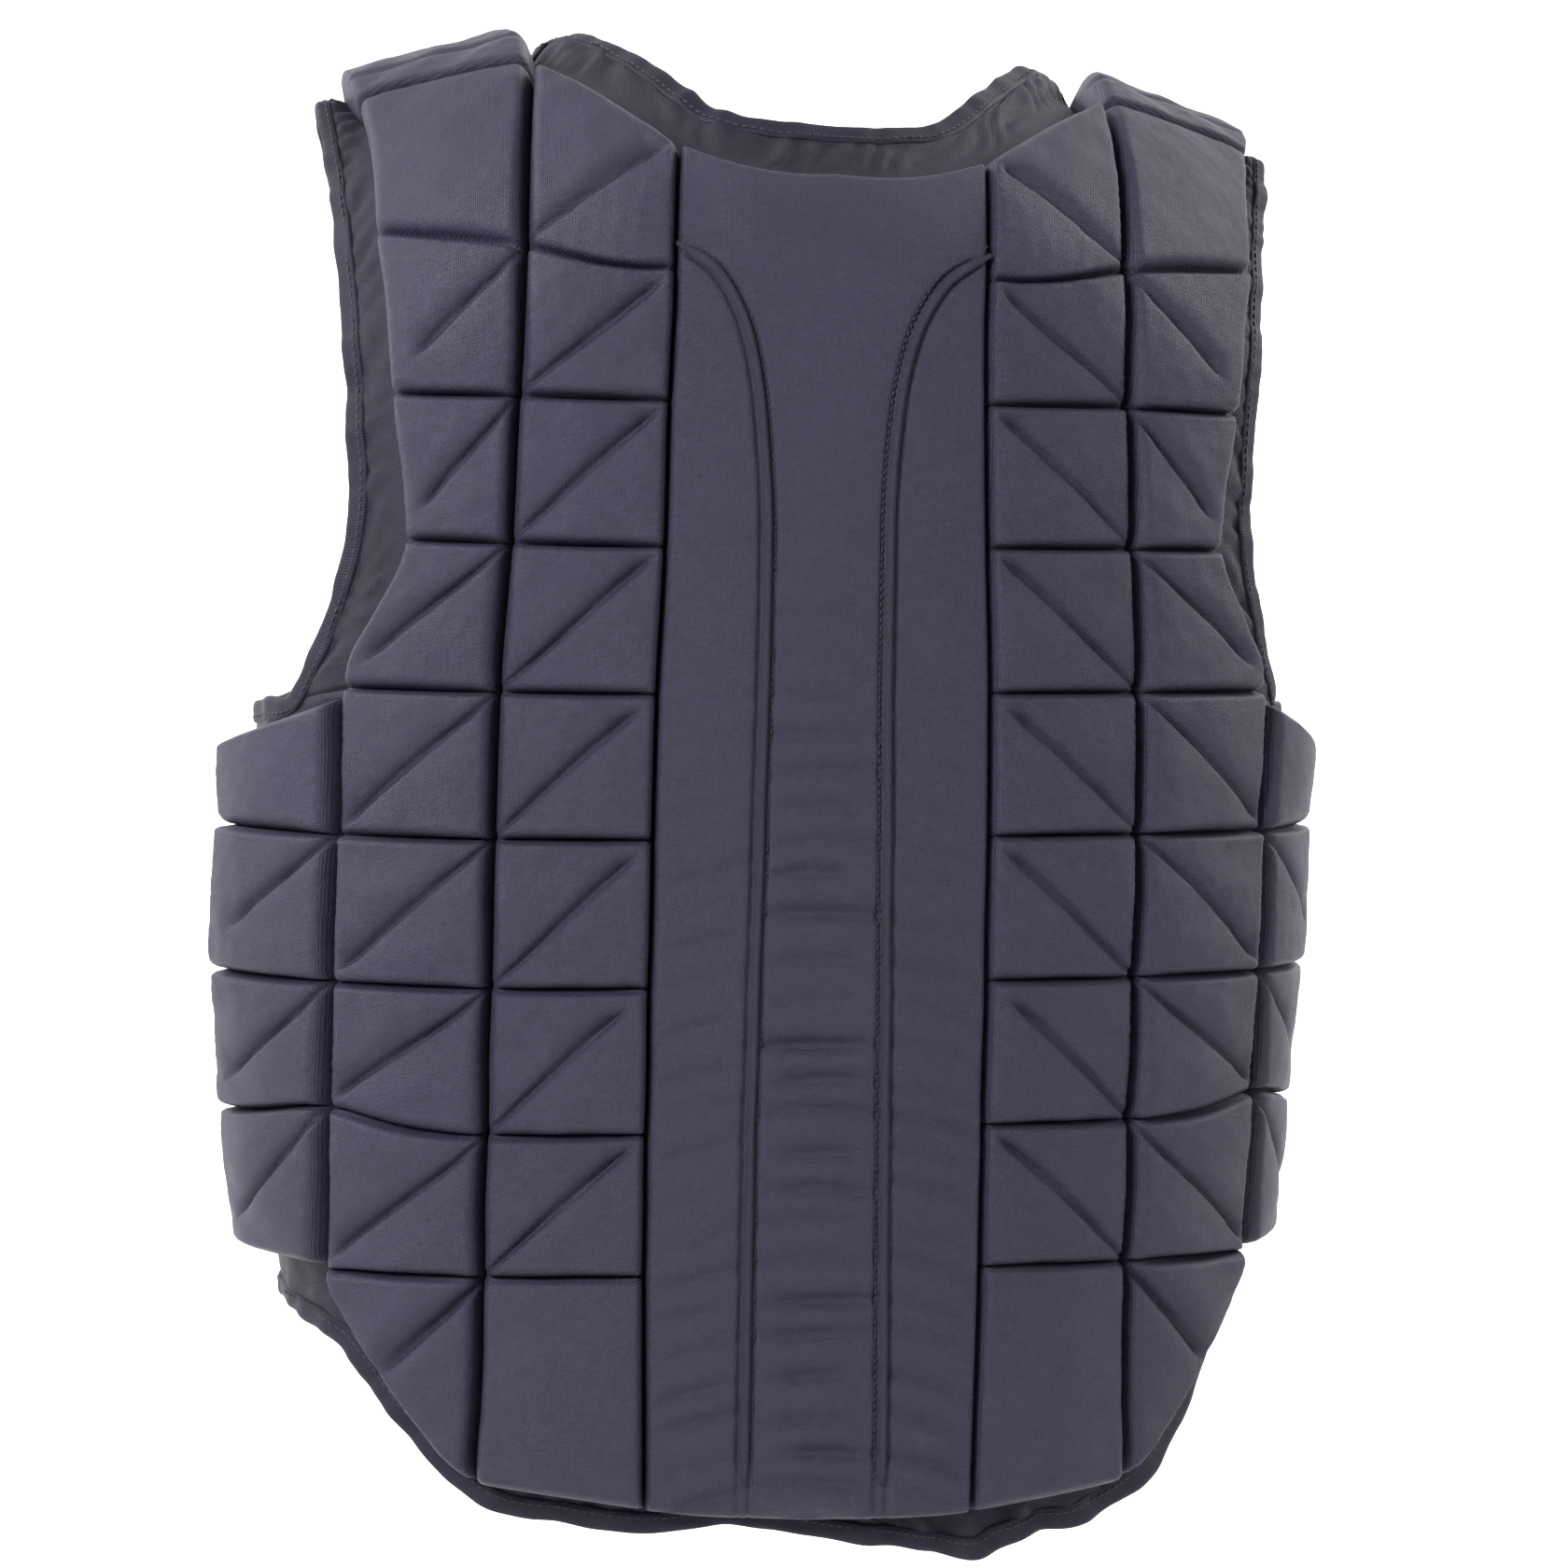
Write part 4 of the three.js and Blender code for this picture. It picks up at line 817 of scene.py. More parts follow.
    def puckers(self, inner: np.ndarray, outer: np.ndarray, s: np.ndarray, q: np.ndarray,
                block: int) -> np.ndarray:
        """Small gathers of the cover across the upright grooves.

        Args:
            inner: distance from the inner edge.
            outer: distance from the outer edge.
            s: way round.
            q: way over the shoulder.
            block: number of the block from the top.
        Returns:
            Depths in millimetres.
        """
        total = np.zeros_like(inner)
        for k, d in enumerate((inner, outer)):
            wander = Ripple(self.seed + 400 + k, 30)(s, q) * 1.5
            amount = 0.28 + 0.3 * ease(Ripple(self.seed + 500 + k + block, 45)(s * 0.2, q))
            wave = 0.5 + 0.5 * np.sin((q + wander) * 2 * math.pi / self.pucker_pitch)
            total = total + amount * wave * np.exp(-((d - 2.4) / 2.2) ** 2)
        return total

    def crowded(self) -> np.ndarray:
        """Shares from 0 to 1 that crowd towards both ends, where the cover bends most."""
        share = np.linspace(0, 1, self.cells + 1)
        return share - self.crowding * np.sin(2 * math.pi * share) / (2 * math.pi)

    def build(self, side: Side) -> bpy.types.Object:
        """Builds the column's cover for one side."""
        u = self.crowded()
        t_parts, v_parts, block_parts = [], [], []
        count = len(self.block_ends) - 1
        for b in range(count):
            a, z = self.block_ends[b], self.block_ends[b + 1]
            keep = u if b == count - 1 else u[:-1]
            v_parts.append(keep)
            t_parts.append(a + keep * (z - a))
            block_parts.append(np.full(len(keep), b))
        v, t, block = np.concatenate(v_parts), np.concatenate(t_parts), np.concatenate(block_parts)
        gap = LATTICE.gap / 2
        left, mid, right = self.lines
        curves = [(hermite([p[0] + o for p in line], t), hermite([p[1] for p in line], t))
                  for line, o in ((left, gap), (mid, 0.0), (right, -gap))]
        s, q = WARP(*between(curves, u), self.face)
        for b in range(count):
            rows = np.nonzero(block == b)[0]
            if not (self.foot_crease and b == count - 1):
                self.straighten(s, q, u, v, rows, min(rows[-1] + 1, len(t) - 1))
        uu = np.broadcast_to(u, s.shape)
        vv = np.broadcast_to(v[:, None], s.shape)
        wide = np.broadcast_to((s[:, -1] - s[:, 0])[:, None], s.shape)
        top = np.zeros_like(s)
        for b in range(count):
            rows = block == b
            ends = np.nonzero(rows)[0]
            nxt = min(ends[-1] + 1, len(t) - 1)
            tall = np.maximum(np.broadcast_to(np.abs(q[nxt] - q[ends[0]]), s[rows].shape), self.least_height)
            top[rows] = self.levels(uu[rows], vv[rows], wide[rows], tall, s[rows], q[rows], b)
        self.gather_rows(top, block)
        top = np.maximum(top, FOAM_FLOOR + self.lift + self.least_foam) + self.lift * 0.4
        floor = np.full_like(s, FOAM_FLOOR + self.lift)
        name = self.node.replace("SIDE", side.name.lower()) + "_cover"
        return Cover(name, s, q, top, floor, crossed=True).build(side)

    def straighten(self, s: np.ndarray, q: np.ndarray, u: np.ndarray, v: np.ndarray, rows: np.ndarray,
                   foot: int) -> None:
        """Moves the inside of a block so that its diagonal runs straight; its edges stay.

        Args:
            s: way round, changed in place.
            q: way over the shoulder, changed in place.
            u: share across of each column of points.
            v: share down of each row of points.
            rows: the block's rows.
            foot: the row below it.
        """
        middle = rows[len(rows) // 2]
        centre = s.shape[1] // 2
        bump = 16 * np.outer(v[rows] * (1 - v[rows]), u * (1 - u))
        for way in (s, q):
            wanted = (way[rows[0], 0] + way[foot, -1]) / 2
            way[rows] += bump * (wanted - way[middle, centre])

    def gather_rows(self, top: np.ndarray, block: np.ndarray) -> None:
        """Makes both sides of each cross groove meet at one depth."""
        for k in np.nonzero(np.diff(block))[0]:
            top[k + 1] = np.minimum(top[k + 1], (top[k] + top[k + 1]) / 2 + 0.4)


@dataclass(frozen=True)
class Drift:
    """Small shifts of the pattern where the sewn blocks stray from even rows."""

    # Way round, way down, shift round, shift down and reach, for both halves of the back.
    spots: tuple[tuple[float, float, float, float, float], ...] = (
        (180.0, 436.0, 0.0, -6.0, 26.0), (172.0, 118.0, 2.5, 0.0, 30.0), (166.0, 172.0, 3.0, 0.0, 34.0),
        (120.0, 590.0, 3.0, 0.0, 30.0),
    )

    def __call__(self, s: np.ndarray, q: np.ndarray, face: Face) -> tuple[np.ndarray, np.ndarray]:
        """Returns shifted ways."""
        if face is Face.FRONT:
            return s, q
        for at_s, at_q, ds, dq, reach in self.spots:
            near = np.exp(-((s - at_s) ** 2 + (q - at_q) ** 2) / reach ** 2)
            s, q = s + ds * near, q + dq * near
        return s, q


WARP = Drift()


# ---------------------------------------------------------------- spine panel and piping


@dataclass
class Piping:
    """A raised cord under the cover on each side of the spine panel."""

    node: str = "spine_piping_SIDE"
    diameter: float = 2.8
    step: float = 2.5
    sides: int = 10
    # Share of the spine panel's half width, share of the length.
    course: tuple[tuple[float, float], ...] = (
        (0.93, 0.112), (0.66, 0.13), (0.5, 0.165), (0.41, 0.22), (0.37, 0.3), (0.37, 0.404),
        (0.38, 0.506), (0.39, 0.608), (0.4, 0.71), (0.405, 0.812), (0.415, 0.9), (0.42, 0.965),
    )

    def path(self) -> tuple[np.ndarray, np.ndarray]:
        """Ways along the course, evenly spaced."""
        nodes = []
        for across, down in self.course:
            at = across * LATTICE.spine_width / 2
            nodes.append((at, FORM.way_to(at, -down * FORM.length, Face.BACK)))
        t = np.linspace(0, len(nodes) - 1, 900)
        return spaced(hermite([n[0] for n in nodes], t), hermite([n[1] for n in nodes], t), self.step)

    def build(self, side: Side) -> bpy.types.Object:
        """Builds the rounded cord."""
        s, q = self.path()
        ds, dq = np.gradient(s), np.gradient(q)
        size = np.hypot(ds, dq)
        ns, nq = -dq / size, ds / size
        turn = np.linspace(0, 2 * math.pi, self.sides, endpoint=False)
        wobble = 1 + 0.04 * Ripple(5, 14)(s, q)
        way = np.arange(len(s)) * self.step
        ends = ease(way / 14) * ease((way[-1] - way) / 10)
        radius = self.diameter / 2 * wobble * (0.55 + 0.45 * ends)
        cs = s[:, None] + ns[:, None] * np.cos(turn) * radius[:, None] * 1.1
        cq = q[:, None] + nq[:, None] * np.cos(turn) * radius[:, None] * 1.1
        w = SPINE_TOP + 0.1 + 0.8 * ends[:, None] + np.sin(turn)[None, :] * radius[:, None]
        points = FORM.place(cs * side.value, cq, w).reshape(-1, 3)
        uv = np.stack([np.repeat(np.cumsum(size), self.sides), np.tile(turn * 3, len(s))], -1)
        name = self.node.replace("SIDE", side.name.lower()) + "_cord"
        return outward(mesh_object(name, points, tube_faces(len(s), self.sides), uv))


@dataclass
class SpinePanel:
    """The long foam panel down the middle of the back."""

    node: str = "back_spine_panel"
    columns: int = 140
    rows: int = 400
    edge_radius: float = 2.6
    edge_gap: float = 0.2
    # Ways down the back where the cross wrinkles start and end.
    wrinkled: tuple[float, float] = (262.0, 640.0)
    piping: Piping = field(default_factory=Piping)

    def build(self) -> bpy.types.Object:
        """Builds the panel's cover with its soft wrinkles."""
        lines = [LATTICE.joined(Face.BACK, k)[2:-1] for k in (0, 1, 2)]
        t = np.linspace(0, len(lines[0]) - 1, self.rows + 1)
        u = np.linspace(-1, 1, self.columns + 1)
        curves = [(hermite([p[0] for p in line], t), hermite([p[1] for p in line], t)) for line in lines]
        a = np.abs(u)
        s, q = between(curves, a)
        edge = curves[2][0]
        s = s * np.sign(u) * (1 - self.edge_gap / np.maximum(edge, 1))[:, None]
        width = edge[:, None]
        side = (1 - a)[None, :] * width
        head = q - q[0][None, :]
        foot = q[-1][None, :] - q
        level = GROOVE + (SPINE_TOP - GROOVE) * rise(side, self.edge_radius) * rise(head, 3.0) * rise(foot, 3.4)
        level = level + 0.5 * (1 - a ** 2)[None, :]
        level = level + self.wrinkles(s, q) * rise(side, 12) * rise(foot, 10)
        ps, pq = self.piping.path()
        at = np.interp(q, pq, ps)
        gap = np.abs(s) - at
        started = ease((q - pq[0]) / 6)
        level = level - started * 1.5 * np.exp(-((gap + 2.3) / 1.1) ** 2)
        level = level - started * 1.3 * np.exp(-((gap - 2.1) / 1.2) ** 2)
        floor = np.full_like(s, FOAM_FLOOR)
        return Cover("spine_panel_cover", s, q, level, floor, 8, 8).build()

    def wrinkles(self, s: np.ndarray, q: np.ndarray) -> np.ndarray:
        """Soft cross wrinkles between and beside the pipings, strongest low down the back."""
        rng = np.random.default_rng(66)
        first, last = self.wrinkled
        total = Ripple(64, 40)(s, q) * 0.18
        for centre, reach, share in ((-43.0, 19.0, 0.5), (0.0, 24.0, 1.0), (43.0, 19.0, 0.5)):
            strip = np.exp(-((s - centre) / reach) ** 4)
            at = first
            while at < last:
                low = float(ease(np.array((at - 270) / 210)))
                deep = (0.9 + 3.2 * low) * share * rng.uniform(0.35, 1.15)
                slope, bow = rng.uniform(-0.05, 0.05), rng.uniform(-2.0, 2.0)
                start, span = rng.uniform(-8, 8), rng.uniform(15, 32)
                line = at + slope * (s - centre) + bow * ((s - centre) / 25) ** 2
                off = q - line
                patch = np.exp(-((s - centre - start) / span) ** 4)
                valley = np.exp(-np.abs(np.where(off > 0, off / 1.7, off / 3.2)) ** 1.5)
                total = total - strip * patch * deep * (valley - 0.35 * np.exp(-((off - 5.0) / 4.5) ** 2))
                at += rng.uniform(10.5, 18.5)
        return total


# ---------------------------------------------------------------- shells, pads, placket


def smooth_chain(nodes: Sequence[Node], step: float) -> np.ndarray:
    """Catmull-Rom curve through nodes.

    Args:
        nodes: the nodes, in order.
        step: space between its points.
    Returns:
        Evenly spaced points, one row each.
    """
    p = np.array(nodes, float)
    padded_nodes = np.vstack([2 * p[0] - p[1], p, 2 * p[-1] - p[-2]])
    out = []
    for k in range(len(p) - 1):
        a, b, c, d = padded_nodes[k:k + 4]
        t = np.linspace(0, 1, 24, endpoint=False)[:, None]
        out.append(0.5 * (2 * b + (c - a) * t + (2 * a - 5 * b + 4 * c - d) * t * t
                          + (3 * b - a - 3 * c + d) * t ** 3))
    out.append(p[-1:])
    return np.stack(spaced(*np.vstack(out).T, step, 2), -1)


@dataclass
class Borders:
    """The edge lines of the shells, as chains of ways on the right side."""

    step: float = 2.0

    def __post_init__(self) -> None:
        """Collects the border chains."""
        up, low = LATTICE.back_up, LATTICE.back_low
        fup, flow = LATTICE.front_up, LATTICE.front_low
        self.back_neck = self._from_middle([line[0] for line in up[:4]])
        self.front_neck = self._from_middle([fup[0][3], fup[1][3], fup[2][3], fup[3][3], fup[3][2], fup[3][1],
                                             fup[3][0]])
        self.back_arm = smooth_chain([*up[7], *[line[0] for line in low[8:]]], self.step)
        self.front_arm = smooth_chain([*fup[6], *[line[0] for line in flow[7:]]], self.step)
        self.back_hem = self._from_middle([line[-1] for line in low])
        self.front_hem = self._from_middle([line[-1] for line in flow])

    def _from_middle(self, nodes: Sequence[Node]) -> np.ndarray:
        """A chain that leaves the midline square to it."""
        line = smooth_chain([(-nodes[1][0], nodes[1][1]), *nodes], self.step / 2)
        line = np.vstack([[nodes[0]], line[line[:, 0] >= nodes[0][0]]])
        return np.stack(spaced(*line.T, self.step), -1)


BORDERS = Borders()
# Places where the hem of the back hangs lower or higher: size, reach and way round.
HEM_DIP = ((8.0, 20.0, 66.0), (-7.5, 24.0, -28.0), (12.0, 20.0, 147.0), (3.0, 16.0, 104.0))


def hem_dip(s: np.ndarray) -> np.ndarray:
    """How much lower the hem of the back hangs than its even line."""
    return sum(size * np.exp(-((s - at) / width) ** 2) for size, width, at in HEM_DIP)


def edge_folds(s: np.ndarray, q: np.ndarray) -> np.ndarray:
    """How far the unpadded edge stands off its even lie: folds, hem ruffle and turned-up shoulder ends.

    Args:
        s: way round.
        q: way over the shoulder.
    Returns:
        Distances in millimetres.
    """
    share = ease(np.abs(q) / 14)
    back = Ripple(201, 24)(s, q) * 0.5 + Ripple(202, 10)(s, q) * 0.16
    front = Ripple(301, 24)(s, q) * 0.5 + Ripple(302, 10)(s, q) * 0.16
    low = ease((q - 560) / 40) * np.exp(-((s - 62) / 46) ** 2)
    ruffle = low * 2.8 * np.sin(s * 2 * math.pi / 21 + 0.9)
    side = np.where(np.abs(s) > 150, np.exp(-(q / 44) ** 2) * 8.0, 0.0)
    neck = np.where(np.abs(s) < 130, np.exp(-(q / 40) ** 2) * 9.0, 0.0)
    return np.where(q > 0, back + ruffle, front) * share + side + neck


@dataclass
class ClothShell:
    """One woven shell with its unpadded border."""

    name: str
    face: Face
    seed: int
    cells: int = 13
    # Way round that parts the folds of the armhole from those of the hem.
    corner: float = 135.0

    def folds(self, s: np.ndarray, q: np.ndarray, edge: np.ndarray) -> np.ndarray:
        """Small folds of the border, dying out under the foam.

        Args:
            s: way round.
            q: way over the shoulder.
            edge: distance from the shell's edge.
        Returns:
            Distances off the even lie, in millimetres.
        """
        near = 1 - ease((edge - 2) / 15)
        band = ease(edge / 4) * (1 - ease((edge - 9) / 8))
        wander = Ripple(self.seed + 5, 40)(s, q) * 5
        arm = np.sin((q + edge * 0.7 + wander) * 2 * math.pi / 12) * (np.abs(s) > self.corner)
        hem = np.sin((s + edge * 0.4 + wander) * 2 * math.pi / 12.5) * (np.abs(s) <= self.corner)
        amount = 0.35 + 0.65 * ease(Ripple(self.seed + 6, 50)(s, q) * 0.5 + 0.5)
        return near * edge_folds(s, q) + band * 1.15 * amount * (arm + hem)

    def build(self, sides: Sequence[Side]) -> bpy.types.Object:
        """Builds the shell.

        Args:
            sides: the halves that it covers.
        Returns:
            The shell; its flat size is kept in size.
        """
        if self.face is Face.BACK:
            up, low, neck_row = LATTICE.back_up, LATTICE.back_low, 0
        else:
            up, low, neck_row = LATTICE.front_up, LATTICE.front_low, 3
        patches = [self._patch(up, (neck_row, 7), (0, 3)), self._patch(up, (0, 7), (3, len(up) - 1)),
                   self._patch(low, (0, len(low[0]) - 1), (0, len(low) - 1))]
        keys: dict[tuple[int, int], int] = {}
        ways: list[tuple[float, float]] = []
        faces: list[list[int]] = []

        def number(a: float, b: float) -> int:
            """One vertex per place."""
            key = (round(a * 20), round(b * 20))
            if key not in keys:
                keys[key] = len(ways)
                ways.append((a, b))
            return keys[key]

        for side in sides:
            for s, q in patches:
                rows, cols = s.shape
                ids = [[number(float(s[r, c]) * side.value, float(q[r, c])) for c in range(cols)]
                       for r in range(rows)]
                for r in range(rows - 1):
                    for c in range(cols - 1):
                        loop = [ids[r][c], ids[r][c + 1], ids[r + 1][c + 1], ids[r + 1][c]]
                        if side is Side.LEFT:
                            loop.reverse()
                        tidy = [v for k, v in enumerate(loop) if v != loop[k - 1]]
                        if len(set(tidy)) >= 3:
                            faces.append(tidy)
        at = np.array(ways)
        edges: dict[tuple[int, int], int] = {}
        for f in faces:
            for a, b in zip(f, f[1:] + f[:1]):
                edges[(a, b)] = edges.get((a, b), 0) + 1
        rim = [(a, b) for a, b in edges if (b, a) not in edges]
        rim_ids = sorted({v for e in rim for v in e})
        rim_at = at[rim_ids]
        heights = np.linspace(-700, 0, 141)
        seams = np.array([FORM.seam_at(float(z)) for z in heights])
        to_seam = np.interp(FORM.surface(at[:, 0], at[:, 1])[:, 2], heights, seams) - np.abs(at[:, 0])
        seam = (np.abs(rim_at[:, 1]) > 0.3) & (to_seam[rim_ids] > 8)
        distance = np.full(len(at), 99.0)
        for start in range(0, len(at), 2000):
            part = at[start:start + 2000]
            gaps = part[:, None] - rim_at[None, seam]
            distance[start:start + 2000] = np.hypot(gaps[..., 0], gaps[..., 1]).min(axis=1)
        s, q = at[:, 0], at[:, 1].copy()
        fold = self.folds(s, q, distance) * ease((to_seam - 1) / 16)
        on_rim = np.isin(np.arange(len(at)), rim_ids)
        # Rim points beside the side seam move onto it, so that back and front meet there.
        s = s + np.sign(s) * np.where(on_rim & (to_seam < 1.9) & (np.abs(q) > 100), to_seam, 0.0)
        hung = q.copy()
        if self.face is Face.BACK:
            share = ease(1 - distance / 10) * (q > 500)
            hung = q + hem_dip(s) * share
        outer = FORM.place(s, hung, SHELL + fold)
        inner = FORM.place(s, hung, fold)
        total = len(at)
        walls = [[b, a, a + total, b + total] for a, b in rim]
        under = [[v + total for v in reversed(f)] for f in faces]
        points = np.concatenate([outer, inner])
        cloth = np.concatenate([at, at])
        piece = outward(mesh_object(self.name, points, faces + under + walls, cloth))
        self.size = self.flat_size(points[:total], faces, at)
        return piece

    def flat_size(self, points: np.ndarray, faces: list[list[int]],
                  at: np.ndarray) -> tuple[float, float, float]:
        """Size of the cloth laid flat.

        Args:
            points: points of the outer face.
            faces: its faces.
            at: both ways of each point.
        Returns:
            Width, length and area, in metres.
        """
        area = 0.0
        for face in faces:
            p = points[face] * MM
            for k in range(1, len(face) - 1):
                area += float(np.linalg.norm(np.cross(p[k] - p[0], p[k + 1] - p[0]))) / 2
        wide, tall = (np.ptp(at, axis=0) * MM).tolist()
        return wide, max(tall, area / wide), area

    def _patch(self, grid: list[list[Node]], rows: tuple[int, int],
               lines: tuple[int, int]) -> tuple[np.ndarray, np.ndarray]:
        """A smooth patch of the lattice.

        Args:
            grid: nodes as [line][row].
            rows: its first and last row.
            lines: its first and last line.
        Returns:
            Ways round and ways over the shoulder.
        """
        (j0, j1), (i0, i1) = rows, lines
        down = np.linspace(0, j1 - j0, (j1 - j0) * (self.cells + 4) + 1)
        across = np.linspace(0, i1 - i0, (i1 - i0) * self.cells + 1)
        s, q = ([[node[k] for node in line[j0:j1 + 1]] for line in grid[i0:i1 + 1]] for k in (0, 1))
        return smooth_grid(s, down, across), smooth_grid(q, down, across, i0 == 0)


@dataclass
class ShoulderPad:
    """The foam strip that folds over the shoulder ridge."""

    node: str = "shoulder_pad_SIDE"
    inset: float = 13.0
    gap: float = 0.9
    lift: float = 0.9

    def grid(self) -> list[list[Node]]:
        """The pad's nodes, front to back."""
        up, fup = LATTICE.back_up, LATTICE.front_up

        def start(nodes: list[Node], by: float) -> list[Node]:
            """Trims the neck end and shifts the row."""
            first = (nodes[0][0] + self.inset, nodes[0][1])
            return [(a, b + by) for a, b in [first, *nodes[1:]]]

        def line(lattice: list[list[Node]], foam: int, row: int, by: float) -> list[Node]:
            """One row of the pad."""
            nodes = [lattice[i][row] for i in (4, 5, 6) if i <= foam]
            while len(nodes) < 4:
                (a, b), (c, d) = nodes[:2]
                nodes.insert(1, ((a + c) / 2, (b + d) / 2))
            return [(a, b + by) for a, b in nodes]

        ends = start([(up[i][0][0], 0.0) for i in (3, 4, 5, 6)], 0)
        ridge = [(ends[0][0] + (ends[3][0] - ends[0][0]) * t, 0.0) for t in (0, 0.25, 0.6, 1)]
        return [line(fup, 5, 2, self.gap), line(fup, 5, 1, 0), ridge,
                line(up, 6, 1, 0), line(up, 6, 2, -self.gap)]

    def build(self, side: Side) -> bpy.types.Object:
        """Builds the pad's cover."""
        grid = self.grid()
        tr = np.linspace(0, 4, 97)
        tc = np.linspace(0, 3, 73)
        s, q = (smooth_grid([[row[c][k] for row in grid] for c in range(4)], tr, tc) for k in (0, 1))
        run_c = s - s[:, :1]
        out_c = s[:, -1:] - s
        head = np.abs(q - q[:1])
        foot = np.abs(q[-1:] - q)
        walls = rise(run_c, 5.5) * rise(out_c, 6.0) * rise(head, 4.0) * rise(foot, 3.0)
        level = GROOVE + (FOAM_TOP - GROOVE) * walls
        fold = 1.6 * np.exp(-((q - 27 + (s - 140) * 0.02) / 2.2) ** 2) * rise(out_c, 20)
        noise = Ripple(811, 22)(s, q) * 0.4 + Ripple(812, 8)(s, q) * 0.12
        level = level - fold + noise * rise(run_c, 6) * rise(out_c, 6) - 0.4
        floor = np.full_like(s, FOAM_FLOOR + self.lift)
        name = self.node.replace("SIDE", side.name.lower()) + "_cover"
        return Cover(name, s, q, level, floor, 6, 6).build(side)


@dataclass
class Placket:
    """The plain closing strip down the middle of the front."""

    node: str = "front_placket"
    drop: float = 1.5
    thickness: float = 4.0

    def build(self) -> bpy.types.Object:
        """Builds the strip."""
        middle = LATTICE.joined(Face.FRONT, 0)[3:]
        edge = LATTICE.joined(Face.FRONT, 1)[3:]
        t = np.linspace(0, len(middle) - 1, 260)
        u = np.linspace(-1, 1, 33)
        half = hermite([p[0] - LATTICE.gap for p in edge], t)
        a = np.abs(u)
        q_mid, q_edge = hermite([p[1] for p in middle], t), hermite([p[1] for p in edge], t)
        s = np.outer(half, u)
        q = np.outer(q_mid, 1 - a ** 2) + np.outer(q_edge, a ** 2)
        q[0] -= self.drop
        side = (1 - a)[None, :] * half[:, None]
        ends = np.minimum(np.abs(q - q[:1]), np.abs(q[-1:] - q))
        low = FOAM_FLOOR + self.thickness * 0.4
        level = low + self.thickness * 0.6 * rise(side, 2.0) * rise(ends, 2.0)
        level = level - 0.5 * np.exp(-((side - 4.5) / 0.9) ** 2) + Ripple(71, 30)(s, q) * 0.15 * rise(side, 4)
        return Cover("placket_cover", s, q, level, np.full_like(s, FOAM_FLOOR), 8, 8).build()


# ---------------------------------------------------------------- tapes and stitches


@dataclass
class Binding:
    """Folded tape round an edge of the shells."""

    name: str
    node: str
    chain: np.ndarray
    outwards: np.ndarray
    closed: bool
    seed: int
    width: float = 7.6
    thickness: float = 4.2
    overlap: float = 1.2
    sides: int = 18
    squareness: float = 0.62
    stitch_inset: float = 1.35

    def build(self) -> bpy.types.Object:
        """Builds the tape."""
        turn = np.linspace(0, 2 * math.pi, self.sides, endpoint=False)
        across = (np.sign(np.cos(turn)) * np.abs(np.cos(turn)) ** self.squareness + 1) / 2
        through = np.sign(np.sin(turn)) * np.abs(np.sin(turn)) ** self.squareness / 2
        s, q = self.chain[:, 0], self.chain[:, 1]
        run = run_along(s, q)
        swing = Ripple(self.seed, 26)(run, run * 0)
        pinch = Ripple(self.seed + 1, 9)(run, run * 0)
        wide = self.width * (1 + 0.035 * swing)
        thick = self.thickness * (1 + 0.05 * pinch)
        d = -self.overlap + across[None, :] * (wide + self.overlap)[:, None]
        w = SHELL / 2 + 0.3 * swing[:, None] + through[None, :] * thick[:, None]
        seam = np.exp(-((across - 0.28) / 0.09) ** 2) * np.sign(through)
        w = w - 0.35 * seam[None, :]
        cs = s[:, None] + self.outwards[:, 0][:, None] * d
        cq = q[:, None] + self.outwards[:, 1][:, None] * d
        points = FORM.place(cs, cq, w + edge_folds(s, q)[:, None]).reshape(-1, 3)
        around = run_along(across * self.width, through * self.thickness)
        uv = np.stack([np.repeat(run, self.sides), np.tile(around, len(s))], -1)
        return outward(mesh_object(self.name, points, tube_faces(len(s), self.sides, self.closed), uv))

    def stitch_path(self, level: float) -> np.ndarray:
        """Points of the stitch line on the outer face, in metres."""
        s, q = (self.chain + self.outwards * self.stitch_inset).T
        return FORM.place(s, q, np.full_like(s, level) + edge_folds(*self.chain.T)) * MM


def directions(chain: np.ndarray, towards: tuple[float, float]) -> np.ndarray:
    """Unit ways out of the cloth along a chain.

    Args:
        chain: ways along the edge.
        towards: a rough way out.
    Returns:
        One unit way per entry.
    """
    along = np.gradient(chain, axis=0)
    along /= np.linalg.norm(along, axis=1, keepdims=True)
    out = np.stack([-along[:, 1], along[:, 0]], -1)
    flip = (out @ np.array(towards)) < 0
    out[flip] *= -1
    return out


def mirrored(chain: np.ndarray) -> np.ndarray:
    """The chain on the other side of the midline."""
    return chain * np.array([-1.0, 1.0])


def soften(out: np.ndarray, reach: int, closed: bool) -> np.ndarray:
    """Averages ways out over their neighbours, so that tape turns corners softly.

    Args:
        out: unit ways out.
        reach: number of neighbours on each side.
        closed: whether the chain closes on itself.
    Returns:
        The softened unit ways.
    """
    kernel = np.hanning(2 * reach + 3)[1:-1]
    kernel /= kernel.sum()
    mode = "wrap" if closed else "edge"
    wide = np.pad(out, ((reach, reach), (0, 0)), mode=mode)
    soft = np.stack([np.convolve(wide[:, k], kernel, mode="valid") for k in (0, 1)], -1)
    return soft / np.linalg.norm(soft, axis=1, keepdims=True)


